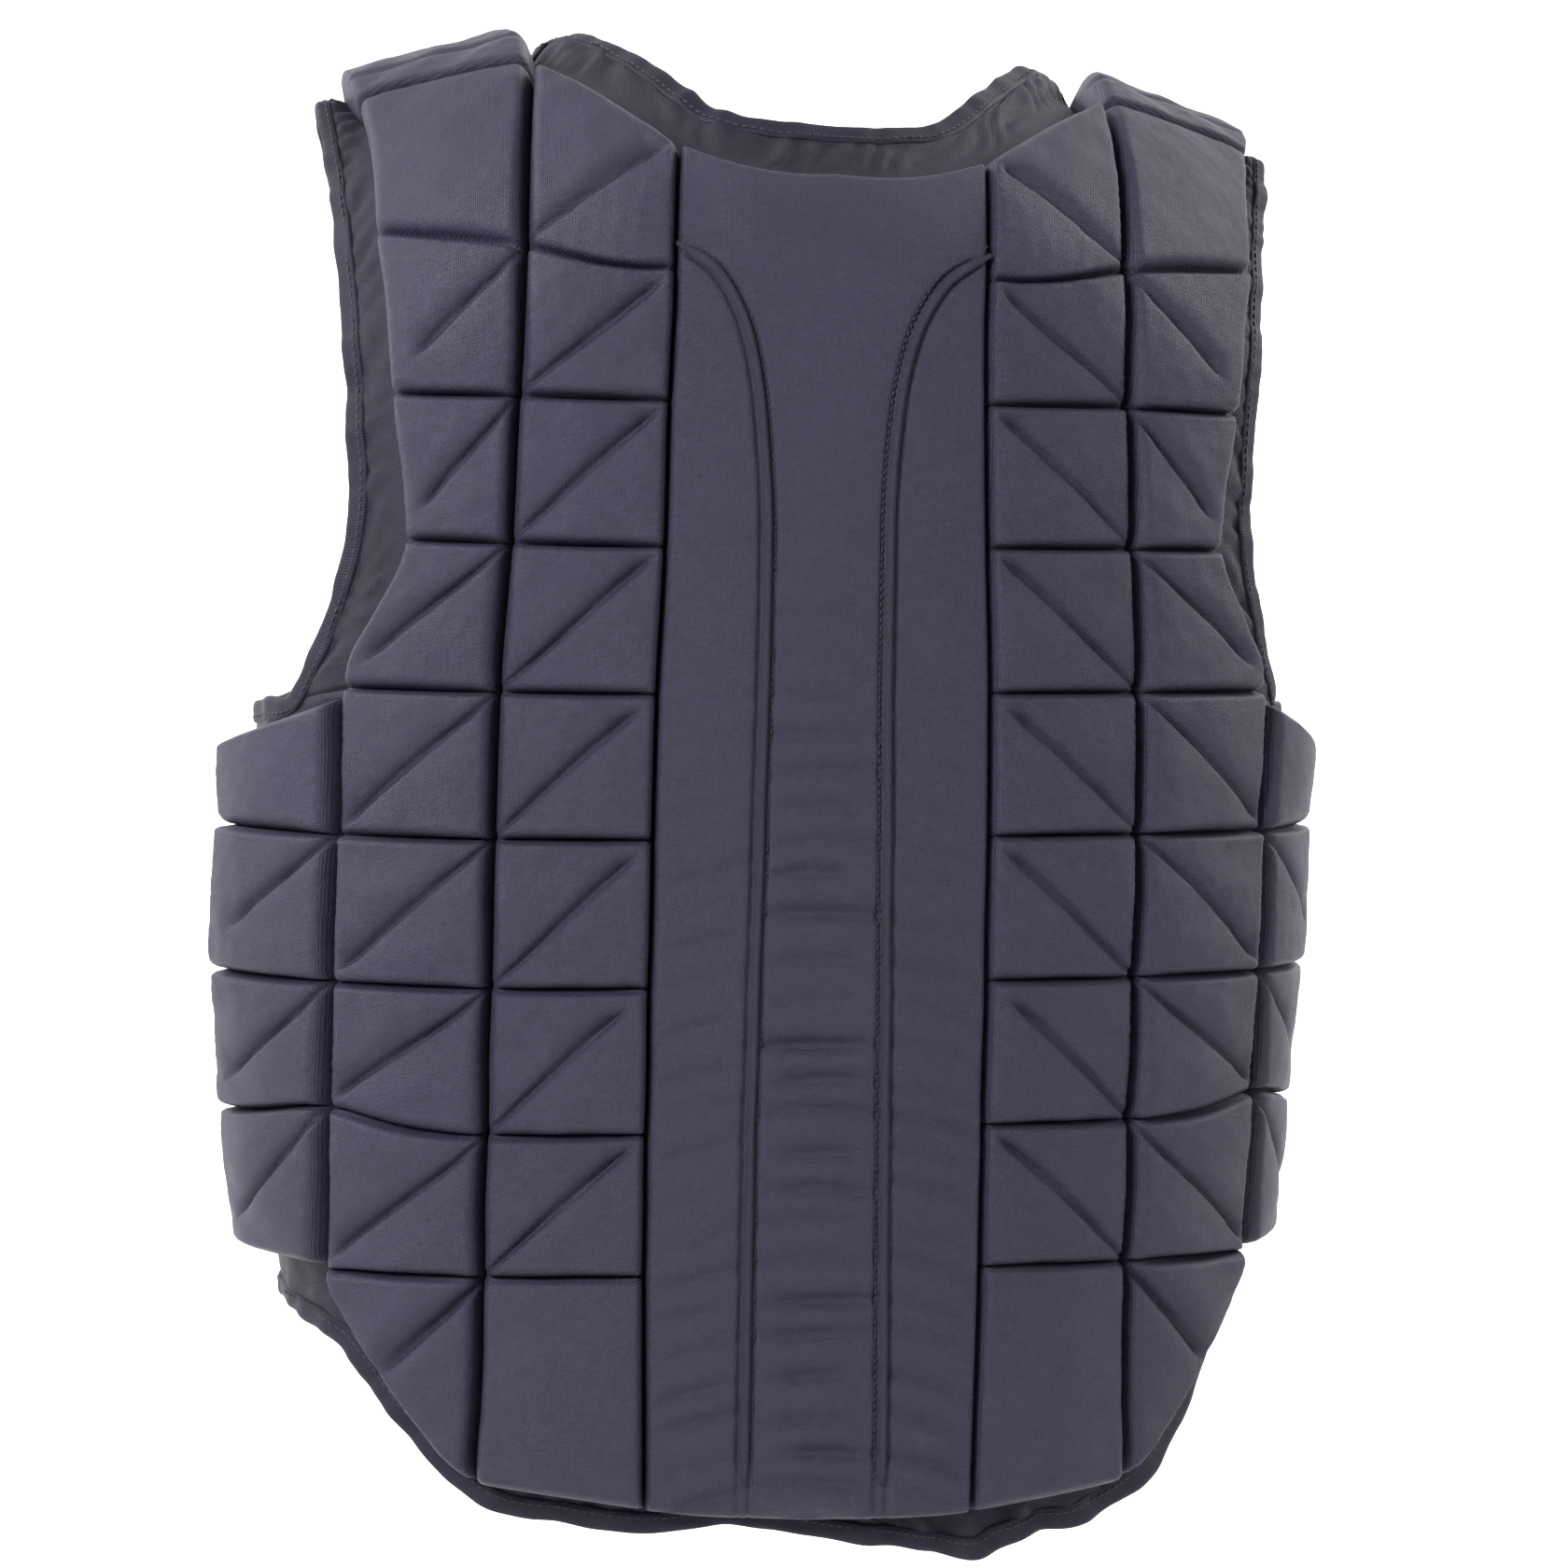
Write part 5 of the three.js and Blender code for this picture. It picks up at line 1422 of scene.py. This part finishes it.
@dataclass
class Tapes:
    """All four lines of binding tape."""

    neck_reach: int = 5
    arm_reach: int = 4

    def neck(self) -> Binding:
        """Tape from the placket round the neck and back."""
        back, front = BORDERS.back_neck, BORDERS.front_neck
        back_out = directions(back, (-0.5, -1.0))
        front_out = directions(front, (-1.0, 0.6))
        half = np.vstack([back, front[::-1][1:]])
        out = np.vstack([back_out, front_out[::-1][1:]])
        chain = np.vstack([mirrored(half)[::-1][:-1], half])
        ways = np.vstack([mirrored(out)[::-1][:-1], out])
        ways = soften(ways, self.neck_reach, False)
        return Binding("neck_tape", "neck_binding", chain, ways, False, 21)

    def armhole(self, side: Side) -> Binding:
        """Tape round one armhole."""
        back, front = BORDERS.back_arm, BORDERS.front_arm
        back_out, front_out = directions(back, (1.0, -1.0)), directions(front, (1.0, 1.0))
        chain = np.vstack([back, front[::-1][1:-1]])
        out = soften(np.vstack([back_out, front_out[::-1][1:-1]]), self.arm_reach, True)
        if side is Side.LEFT:
            chain, out = mirrored(chain), mirrored(out)
        word = side.name.lower()
        return Binding(f"armhole_tape_{word}", f"armhole_binding_{word}", chain, out, True, 22 + side.value)

    def hem(self) -> Binding:
        """Tape round the hem, open at the placket."""
        back, front = BORDERS.back_hem.copy(), BORDERS.front_hem
        full = np.vstack([mirrored(back)[::-1][:-1], back])
        full[:, 1] += hem_dip(full[:, 0])
        out = directions(full, (0.0, 1.0))
        front_out = directions(front, (0.0, -1.0))
        left = mirrored(front)
        # The way round jumps from front to back at the side seam, where both meet.
        chain = np.vstack([left[:-1], full, front[::-1][1:]])
        ways = np.vstack([mirrored(front_out)[:-1], out, front_out[::-1][1:]])
        return Binding("hem_tape", "hem_binding", chain, ways, False, 25)


class StitchRows:
    """Stitches along lines, made by one Geometry Nodes tree."""

    def __init__(self, material: bpy.types.Material) -> None:
        """Builds the tree.

        Args:
            material: the thread's material.
        """
        tree = bpy.data.node_groups.new("stitch_row", "GeometryNodeTree")
        face = tree.interface
        face.new_socket("Geometry", in_out="INPUT", socket_type="NodeSocketGeometry")
        self.inputs = {}
        for name, value in (("Pitch", 0.0033), ("Stitch length", 0.0024), ("Thread width", 0.0008)):
            socket = face.new_socket(name, in_out="INPUT", socket_type="NodeSocketFloat")
            socket.default_value = value
            self.inputs[name] = socket.identifier
        face.new_socket("Geometry", in_out="OUTPUT", socket_type="NodeSocketGeometry")
        nodes, links = tree.nodes, tree.links
        start, end = nodes.new("NodeGroupInput"), nodes.new("NodeGroupOutput")
        curve = nodes.new("GeometryNodeMeshToCurve")
        points = nodes.new("GeometryNodeCurveToPoints")
        points.mode = "LENGTH"
        stitch = nodes.new("GeometryNodeMeshUVSphere")
        stitch.inputs["Segments"].default_value = 6
        stitch.inputs["Rings"].default_value = 5
        stitch.inputs["Radius"].default_value = 0.5
        size = nodes.new("ShaderNodeCombineXYZ")
        place = nodes.new("GeometryNodeInstanceOnPoints")
        real = nodes.new("GeometryNodeRealizeInstances")
        paint = nodes.new("GeometryNodeSetMaterial")
        paint.inputs["Material"].default_value = material
        wires = (
            (start, "Geometry", curve, "Mesh"), (curve, "Curve", points, "Curve"),
            (start, "Pitch", points, "Length"), (points, "Points", place, "Points"),
            (points, "Rotation", place, "Rotation"), (stitch, "Mesh", place, "Instance"),
            (start, "Thread width", size, "X"), (start, "Thread width", size, "Y"),
            (start, "Stitch length", size, "Z"), (size, "Vector", place, "Scale"),
            (place, "Instances", real, "Geometry"), (real, "Geometry", paint, "Geometry"),
            (paint, "Geometry", end, "Geometry"),
        )
        for source, output, target, entry in wires:
            links.new(source.outputs[output], target.inputs[entry])
        self.tree = tree
        self.material = material

    def sew(self, name: str, lines: Sequence[np.ndarray], **sizes: float) -> bpy.types.Object:
        """Sews stitches along lines of points in metres.

        Args:
            name: the piece's name.
            lines: one array of points per line.
            sizes: values for the tree's inputs, by name with underscores.
        Returns:
            A plain mesh object.
        """
        points, edges = [], []
        for line in lines:
            base = len(points)
            points.extend(line.tolist())
            edges.extend((base + k, base + k + 1) for k in range(len(line) - 1))
        mesh = bpy.data.meshes.new(name + "_line")
        mesh.from_pydata(points, edges, [])
        carrier = bpy.data.objects.new(name + "_line", mesh)
        bpy.context.scene.collection.objects.link(carrier)
        modifier = carrier.modifiers.new("stitches", "NODES")
        modifier.node_group = self.tree
        for key, value in sizes.items():
            modifier[self.inputs[key.replace("_", " ").capitalize()]] = value
        graph = bpy.context.evaluated_depsgraph_get()
        plain = bpy.data.meshes.new_from_object(carrier.evaluated_get(graph))
        plain.name = name
        carrier.modifiers.remove(modifier)
        bpy.data.objects.remove(carrier)
        plain.materials.clear()
        plain.materials.append(self.material)
        plain.polygons.foreach_set("use_smooth", [True] * len(plain.polygons))
        made = bpy.data.objects.new(name, plain)
        bpy.context.scene.collection.objects.link(made)
        return made


# ---------------------------------------------------------------- finishes


class Sock:
    """A shader value that can be used in plain sums."""

    def __init__(self, shader: "Shader", socket: bpy.types.NodeSocket) -> None:
        """Wraps a socket."""
        self.shader = shader
        self.socket = socket

    def _math(self, operation: str, a: "Sock | float", b: "Sock | float") -> "Sock":
        """Adds one Math node."""
        return self.shader.node("ShaderNodeMath", {"operation": operation}, [a, b])

    def __add__(self, other: "Sock | float") -> "Sock":
        """Sum."""
        return self._math("ADD", self, other)

    def __radd__(self, other: float) -> "Sock":
        """Sum, reflected."""
        return self._math("ADD", other, self)

    def __sub__(self, other: "Sock | float") -> "Sock":
        """Difference."""
        return self._math("SUBTRACT", self, other)

    def __rsub__(self, other: float) -> "Sock":
        """Difference, reflected."""
        return self._math("SUBTRACT", other, self)

    def __mul__(self, other: "Sock | float") -> "Sock":
        """Product."""
        return self._math("MULTIPLY", self, other)

    def __rmul__(self, other: float) -> "Sock":
        """Product, reflected."""
        return self._math("MULTIPLY", other, self)

    def wave(self, pitch: float) -> "Sock":
        """A sine wave of the value, 0 to 1, one per pitch."""
        return self._math("SINE", self * (2 * math.pi / pitch), 0.0) * 0.5 + 0.5


class Shader:
    """Builds one material's nodes."""

    def __init__(self, name: str) -> None:
        """Starts a material with an empty tree."""
        self.material = bpy.data.materials.new(name)
        self.material.use_nodes = True
        self.tree = self.material.node_tree
        self.tree.nodes.clear()

    def node(self, kind: str, settings: dict, values: Sequence | dict, output: int | str = 0) -> Sock:
        """Adds a node.

        Args:
            kind: the node's type.
            settings: properties set first; "stops" fills a colour ramp.
            values: inputs by place or by name, as numbers, colours or Sock.
            output: which output to return.
        Returns:
            The wrapped output.
        """
        made = self.tree.nodes.new(kind)
        for key, value in settings.items():
            if key == "stops":
                ramp = made.color_ramp
                while len(ramp.elements) < len(value):
                    ramp.elements.new(0.5)
                for element, (at, colour) in zip(ramp.elements, value):
                    element.position = at
                    element.color = colour
            else:
                setattr(made, key, value)
        items = values.items() if isinstance(values, dict) else enumerate(values)
        for key, value in items:
            if isinstance(value, Sock):
                self.tree.links.new(value.socket, made.inputs[key])
            elif value is not None:
                made.inputs[key].default_value = value
        return Sock(self, made.outputs[output])

    def mix(self, share: "Sock | float", a: "Sock | tuple", b: "Sock | tuple") -> Sock:
        """Mixes two colours.

        Args:
            share: share of the second one.
            a: the first colour.
            b: the second colour.
        Returns:
            The mixed colour.
        """
        made = self.tree.nodes.new("ShaderNodeMix")
        made.data_type = "RGBA"
        for place, value in ((0, share), (6, a), (7, b)):
            if isinstance(value, Sock):
                self.tree.links.new(value.socket, made.inputs[place])
            else:
                made.inputs[place].default_value = value
        return Sock(self, made.outputs[2])

    def noise(self, vector: Sock, scale: float, detail: float) -> Sock:
        """Noise over a vector."""
        return self.node("ShaderNodeTexNoise", {}, {"Vector": vector, "Scale": scale, "Detail": detail})

    def cloth(self) -> tuple[Sock, Sock, Sock]:
        """The piece's cloth coordinates, and the first and second of them alone."""
        uv = self.node("ShaderNodeUVMap", {"uv_map": "cloth"}, {})
        return uv, *(self.node("ShaderNodeSeparateXYZ", {}, [uv], axis) for axis in "XY")

    def place(self) -> Sock:
        """The point's place on the piece."""
        return self.node("ShaderNodeTexCoord", {}, {}, "Object")

    def finish(self, colour: Sock | tuple, roughness: Sock | float, height: Sock, bump: float,
               distance: float, fixed: dict) -> bpy.types.Material:
        """Joins everything to a Principled surface.

        Args:
            colour: base colour.
            roughness: roughness.
            height: height of the relief.
            bump: strength of the relief.
            distance: its depth in metres.
            fixed: values of other sockets, the same all over.
        Returns:
            The material.
        """
        relief = self.node("ShaderNodeBump", {}, {"Strength": bump, "Distance": distance, "Height": height})
        surface = self.node("ShaderNodeBsdfPrincipled", {},
                            {"Base Color": colour, "Roughness": roughness, **fixed, "Normal": relief})
        out = self.tree.nodes.new("ShaderNodeOutputMaterial")
        self.tree.links.new(surface.socket, out.inputs["Surface"])
        return self.material


@dataclass(frozen=True)
class WovenFinish:
    """Fine plain-woven polyester."""

    name: str
    light: tuple[float, float, float, float]
    dark: tuple[float, float, float, float]
    roughness: float = 0.56
    thread: float = 0.00062
    bump: float = 0.75
    sheen: float = 0.02

    def make(self) -> bpy.types.Material:
        """Builds the material."""
        sh = Shader(self.name)
        uv, x, y = sh.cloth()
        place = sh.place()

        def slubs(along: float, up: float) -> Sock:
            """Uneven threads that run one way of the cloth."""
            return sh.noise(sh.node("ShaderNodeVectorMath", {"operation": "MULTIPLY"}, [uv, (along, up, 1.0)]),
                            1.0, 2.0)

        warp = x.wave(self.thread)
        weft = y.wave(self.thread * 1.12)
        slub, slub_up = slubs(160.0, 2600.0), slubs(2600.0, 160.0)
        patch = sh.noise(place, 14.0, 4.0)
        grain = sh.noise(place, 900.0, 2.0)
        weave = warp * weft
        tone = weave * 0.3 + slub * 0.75 + slub_up * 0.55 + patch * 0.25 + grain * 0.5 - 0.75
        colour = sh.mix(tone, self.dark, self.light)
        height = weave * 0.7 + slub * 0.8 + slub_up * 0.6 + grain * 0.5
        rough = patch * 0.1 + (self.roughness - 0.05)
        return sh.finish(colour, rough, height, self.bump, 0.0004,
                         {"Sheen Weight": self.sheen, "Sheen Roughness": 0.4, "Specular IOR Level": 0.32})


@dataclass(frozen=True)
class TapeFinish:
    """Ribbed binding tape."""

    name: str
    light: tuple[float, float, float, float]
    dark: tuple[float, float, float, float]
    rib: float = 0.0011
    roughness: float = 0.62

    def make(self) -> bpy.types.Material:
        """Builds the material."""
        sh = Shader(self.name)
        _uv, x, y = sh.cloth()
        ribs = x.wave(self.rib)
        cross = y.wave(self.rib * 0.6)
        patch = sh.noise(sh.place(), 60.0, 4.0)
        colour = sh.mix(ribs * 0.4 + patch * 0.7 - 0.1, self.dark, self.light)
        height = ribs * 0.8 + cross * 0.3 + patch * 0.4
        return sh.finish(colour, self.roughness, height, 0.4, 0.0003,
                         {"Sheen Weight": 0.03, "Specular IOR Level": 0.22})


@dataclass(frozen=True)
class PlainFinish:
    """Thread, and the pale studio paper."""

    name: str
    colour: tuple[float, float, float, float]
    roughness: float = 0.6
    scale: float = 400.0

    def make(self) -> bpy.types.Material:
        """Builds the material."""
        sh = Shader(self.name)
        patch = sh.noise(sh.place(), self.scale, 2.0)
        dark = tuple(c * 0.9 for c in self.colour[:3]) + (1.0,)
        colour = sh.mix(patch, dark, self.colour)
        return sh.finish(colour, self.roughness, patch, 0.05, 0.0002, {"Specular IOR Level": 0.3})


# ---------------------------------------------------------------- studio


@dataclass
class Studio:
    """Floor, backdrop, lights and camera; lengths in metres, turns in radians."""

    photo_width: int = 1680
    sensor: float = 36.0
    distance: float = 1.80479
    yaw: float = 0.17121
    pitch: float = -0.05548
    roll: float = 0.02431
    focal: float = 5152.3
    aim: tuple[float, float, float] = (-0.01297, -0.1, -0.2563)

    def camera(self) -> None:
        """Places the fitted camera."""
        cy, sy = math.cos(self.yaw), math.sin(self.yaw)
        cp, sp = math.cos(self.pitch), math.sin(self.pitch)
        forward = Vector((sy * cp, cy * cp, sp))
        right = Vector((cy, -sy, 0.0))
        up = right.cross(forward)
        cr, sr = math.cos(self.roll), math.sin(self.roll)
        right, up = right * cr + up * sr, up * cr - right * sr
        eye = Vector(self.aim) - forward * self.distance
        data = bpy.data.cameras.new("camera")
        data.sensor_width = self.sensor
        data.sensor_fit = "HORIZONTAL"
        data.lens = self.focal / self.photo_width * self.sensor
        data.clip_end = 50.0
        made = bpy.data.objects.new("camera", data)
        turn = Matrix((right, up, -forward)).transposed().to_4x4()
        made.matrix_world = Matrix.Translation(eye) @ turn
        bpy.context.scene.collection.objects.link(made)
        bpy.context.scene.camera = made

    def floor(self, material: bpy.types.Material) -> None:
        """Builds the sweep of pale paper."""
        low, top, front, back = -0.85, 6.0, -7.0, 2.2
        width, radius = 9.0, 1.2
        profile = [(front, low), (back, low)]
        profile += [(back + radius * math.sin(a), low + radius * (1 - math.cos(a)))
                    for a in np.linspace(0.05, math.pi / 2, 24)]
        profile.append((back + radius, top))
        points = np.array([(x, y, z) for y, z in profile for x in (-width, width)]) / MM
        faces = [[2 * k, 2 * k + 1, 2 * k + 3, 2 * k + 2] for k in range(len(profile) - 1)]
        made = mesh_object("studio_paper", points, faces, points[:, :2])
        made.data.materials.append(material)

    def light(self, name: str, at: tuple[float, float, float], size: tuple[float, float], power: float,
              target: tuple[float, float, float] = (0.0, 0.0, -0.25)) -> None:
        """Adds one soft area light.

        Args:
            name: its name.
            at: its place.
            size: its width and height.
            power: its power in watts.
            target: the point that it faces.
        """
        data = bpy.data.lights.new(name, "AREA")
        data.shape = "RECTANGLE"
        data.size, data.size_y = size
        data.energy = power
        made = bpy.data.objects.new(name, data)
        made.location = at
        aim = Vector(target) - Vector(at)
        made.rotation_euler = aim.to_track_quat("-Z", "Y").to_euler()
        bpy.context.scene.collection.objects.link(made)

    def build(self, paper: bpy.types.Material) -> None:
        """Builds the whole studio."""
        self.camera()
        self.floor(paper)
        self.light("key_light", (-1.05, -1.15, 0.46), (0.7, 0.7), 39, (0.0, 0.0, 0.1))
        self.light("fill_light", (1.9, -1.6, 0.6), (1.0, 1.0), 27, (0.0, 0.0, 0.0))
        self.light("top_light", (0.3, -0.6, 1.9), (1.6, 0.8), 4)
        self.light("backdrop_light_left", (-2.6, 0.9, 1.6), (2.0, 2.0), 210, (-0.6, 3.2, 0.2))
        self.light("backdrop_light_right", (2.6, 0.9, 1.6), (2.0, 2.0), 210, (0.6, 3.2, 0.2))
        world = bpy.data.worlds.new("studio_air")
        world.use_nodes = True
        air = world.node_tree.nodes["Background"].inputs
        air["Color"].default_value = (1.0, 1.0, 1.0, 1.0)
        air["Strength"].default_value = 0.12
        bpy.context.scene.world = world
        bpy.context.scene.view_settings.view_transform = "Standard"


# ---------------------------------------------------------------- the garment


@dataclass
class BodyProtector:
    """All pieces of the garment, each made and dressed in turn."""

    piping_stitch_gap: float = 2.9
    stitch_sink: float = 0.25
    made: list[str] = field(default_factory=list)

    def __post_init__(self) -> None:
        """Makes the finishes."""
        self.panel = WovenFinish("panel_fabric_woven", (0.041, 0.0368, 0.071, 1),
                                 (0.0122, 0.0108, 0.0235, 1)).make()
        self.shell = WovenFinish("shell_fabric_woven", (0.017, 0.0145, 0.035, 1), (0.005, 0.0043, 0.011, 1),
                                 roughness=0.6).make()
        self.tape = TapeFinish("binding_tape_ribbed", (0.0145, 0.0125, 0.029, 1),
                               (0.0055, 0.0048, 0.011, 1)).make()
        self.cord = WovenFinish("piping_tape_woven", (0.033, 0.0295, 0.056, 1), (0.012, 0.0106, 0.022, 1)).make()
        self.thread = PlainFinish("sewing_thread", (0.028, 0.026, 0.038, 1), 0.5).make()
        self.paper = PlainFinish("studio_paper_pale", (0.9, 0.9, 0.905, 1), 0.9, 3.0).make()

    def dress(self, piece: bpy.types.Object, material: bpy.types.Material, slot: str, *nodes: str) -> None:
        """Gives a piece its material and body, and hides the CAD nodes that it stands for.

        Args:
            piece: the piece.
            material: its finish.
            slot: the record's slot for that finish; not used.
            nodes: the CAD nodes that it stands for.
        """
        piece.data.materials.clear()
        piece.data.materials.append(material)
        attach(piece, "root")
        if nodes:
            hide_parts(*nodes)
        self.made.append(piece.name)
        LOG.info("%s: %d faces", piece.name, len(piece.data.polygons))

    def columns(self) -> None:
        """Foam columns of the back and of the front."""
        # Space between the armhole's tape and the foam under it.
        margin = 9.0

        def back(k: int) -> list[Node]:
            """A line of the back, from the top of its foam."""
            return LATTICE.joined(Face.BACK, k)[2:-1]

        def front(k: int, start: int = 4) -> list[Node]:
            """A line of the front, from the top of its foam."""
            return LATTICE.joined(Face.FRONT, k)[start:-1]

        def lowered(nodes: list[Node], by: float) -> list[Node]:
            """Moves the first node along the way."""
            return [(nodes[0][0], nodes[0][1] + by), *nodes[1:]]

        side_back = tuple(lowered(LATTICE.back_low[k][:5], margin * share)
                          for k, share in ((6, 0.3), (7, 1.0), (8, 1.0)))
        side_front = tuple(lowered(LATTICE.front_low[k][:-1], -margin * share)
                           for k, share in ((5, 0.3), (6, 1.0), (7, 1.0)))
        outer_front = [front(k, 2) for k in (3, 4, 5)]
        outer_front[0] = [(s + (margin if k < 2 else 0.0), q) for k, (s, q) in enumerate(outer_front[0])]
        rows = [0, 2, 3, 4, 5, 6, 7, 8, 9, 11]
        plans = [
            FoamColumn("back_SIDE_inner_column", Face.BACK, (back(2), back(3), back(4)), rows,
                       [0.97, 0.98, 0.95, 0.96, 0.94, 0.95, 0.93, 0.95, 0], CreaseStart.OUTER_BOTTOM, 3,
                       inner_radius=3.4),
            FoamColumn("back_SIDE_outer_column", Face.BACK, (back(4), back(5), back(6)), rows,
                       [0, 0.8, 0.8, 0.84, 0.98, 0.99, 0.98, 0.97, 0.6], CreaseStart.INNER_TOP, 5,
                       outer_radius=6.0, foot_crease=(118.0, 509.0, 156.0, 540.0)),
            FoamColumn("back_SIDE_side_column", Face.BACK, side_back, [0, 1, 2, 3, 4],
                       [0, 0.74, 0.74, 0.74], CreaseStart.INNER_TOP, 9, lift=0.75),
            FoamColumn("front_SIDE_inner_column", Face.FRONT, (front(1), front(2), front(3)),
                       [0, 1, 2, 3, 4, 5, 6, 8], [0, 0.84, 0.84, 0.84, 0.84, 0.84, 0],
                       CreaseStart.OUTER_BOTTOM, 13),
            FoamColumn("front_SIDE_outer_column", Face.FRONT, tuple(outer_front), [0, 3, 4, 5, 6, 7, 8, 10],
                       [0, 0.74, 0.74, 0.84, 0.84, 0.84, 0.7], CreaseStart.INNER_TOP, 15, lift=0.75,
                       outer_radius=6.0),
            FoamColumn("front_SIDE_side_column", Face.FRONT, side_front, [0, 1, 2, 3, 5],
                       [0, 0.74, 0.74, 0.74], CreaseStart.INNER_TOP, 19, lift=0.75),
        ]
        for plan in plans:
            for side in Side:
                piece = plan.build(side)
                self.dress(piece, self.panel, "panel_fabric", plan.node.replace("SIDE", side.name.lower()))

    def middle(self) -> None:
        """Spine panel, piping, shoulder pads and placket."""
        spine = SpinePanel()
        panel = spine.build()
        self.dress(panel, self.panel, "panel_fabric", spine.node)
        for side in Side:
            cord = spine.piping.build(side)
            self.dress(cord, self.cord, "piping_tape", "spine_piping_" + side.name.lower())
            pad = ShoulderPad().build(side)
            self.dress(pad, self.panel, "panel_fabric", "shoulder_pad_" + side.name.lower())
        placket = Placket()
        strip = placket.build()
        self.dress(strip, self.shell, "shell_fabric", placket.node)

    def shells(self) -> None:
        """Back shell and both front shells."""
        plan = ClothShell("back_shell_cloth", Face.BACK, 201)
        self.lay(plan.build([Side.RIGHT, Side.LEFT]), "back_shell")
        for side in Side:
            word = side.name.lower()
            plan = ClothShell(f"front_shell_cloth_{word}", Face.FRONT, 301)
            self.lay(plan.build([side]), "front_shell_" + word)

    def lay(self, piece: bpy.types.Object, node: str) -> None:
        self.dress(piece, self.shell, "shell_fabric", node)

    def trims(self) -> None:
        """Tapes and all stitch lines."""
        tapes = Tapes()
        rows = StitchRows(self.thread)
        lines = []
        for tape in (tapes.neck(), tapes.armhole(Side.RIGHT), tapes.armhole(Side.LEFT), tapes.hem()):
            self.dress(tape.build(), self.tape, "binding_tape", tape.node)
            lines.append(tape.stitch_path(SHELL / 2 + tape.thickness / 2 - self.stitch_sink))
        binding = rows.sew("binding_stitches", lines, pitch=0.0034, stitch_length=0.0025, thread_width=0.0009)
        self.dress(binding, self.thread, "binding_tape")
        s, q = Piping().path()
        ds, dq = np.gradient(s), np.gradient(q)
        size = np.hypot(ds, dq) / self.piping_stitch_gap
        off_s, off_q = s - dq / size, q + ds / size
        paths = [FORM.place(off_s * side.value, off_q, np.full_like(s, SPINE_TOP)) * MM for side in Side]
        piping = rows.sew("piping_stitches", paths, pitch=0.0029, stitch_length=0.0021, thread_width=0.0007)
        self.dress(piping, self.thread, "panel_fabric")


def main() -> None:
    """Builds the garment and its studio."""
    logging.basicConfig(level=logging.INFO, format="%(name)s: %(message)s")
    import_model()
    garment = BodyProtector()
    Studio().build(garment.paper)
    garment.columns()
    garment.middle()
    garment.shells()
    garment.trims()
    LOG.info("%d pieces", len(garment.made))


if __name__ == "__main__":
    main()
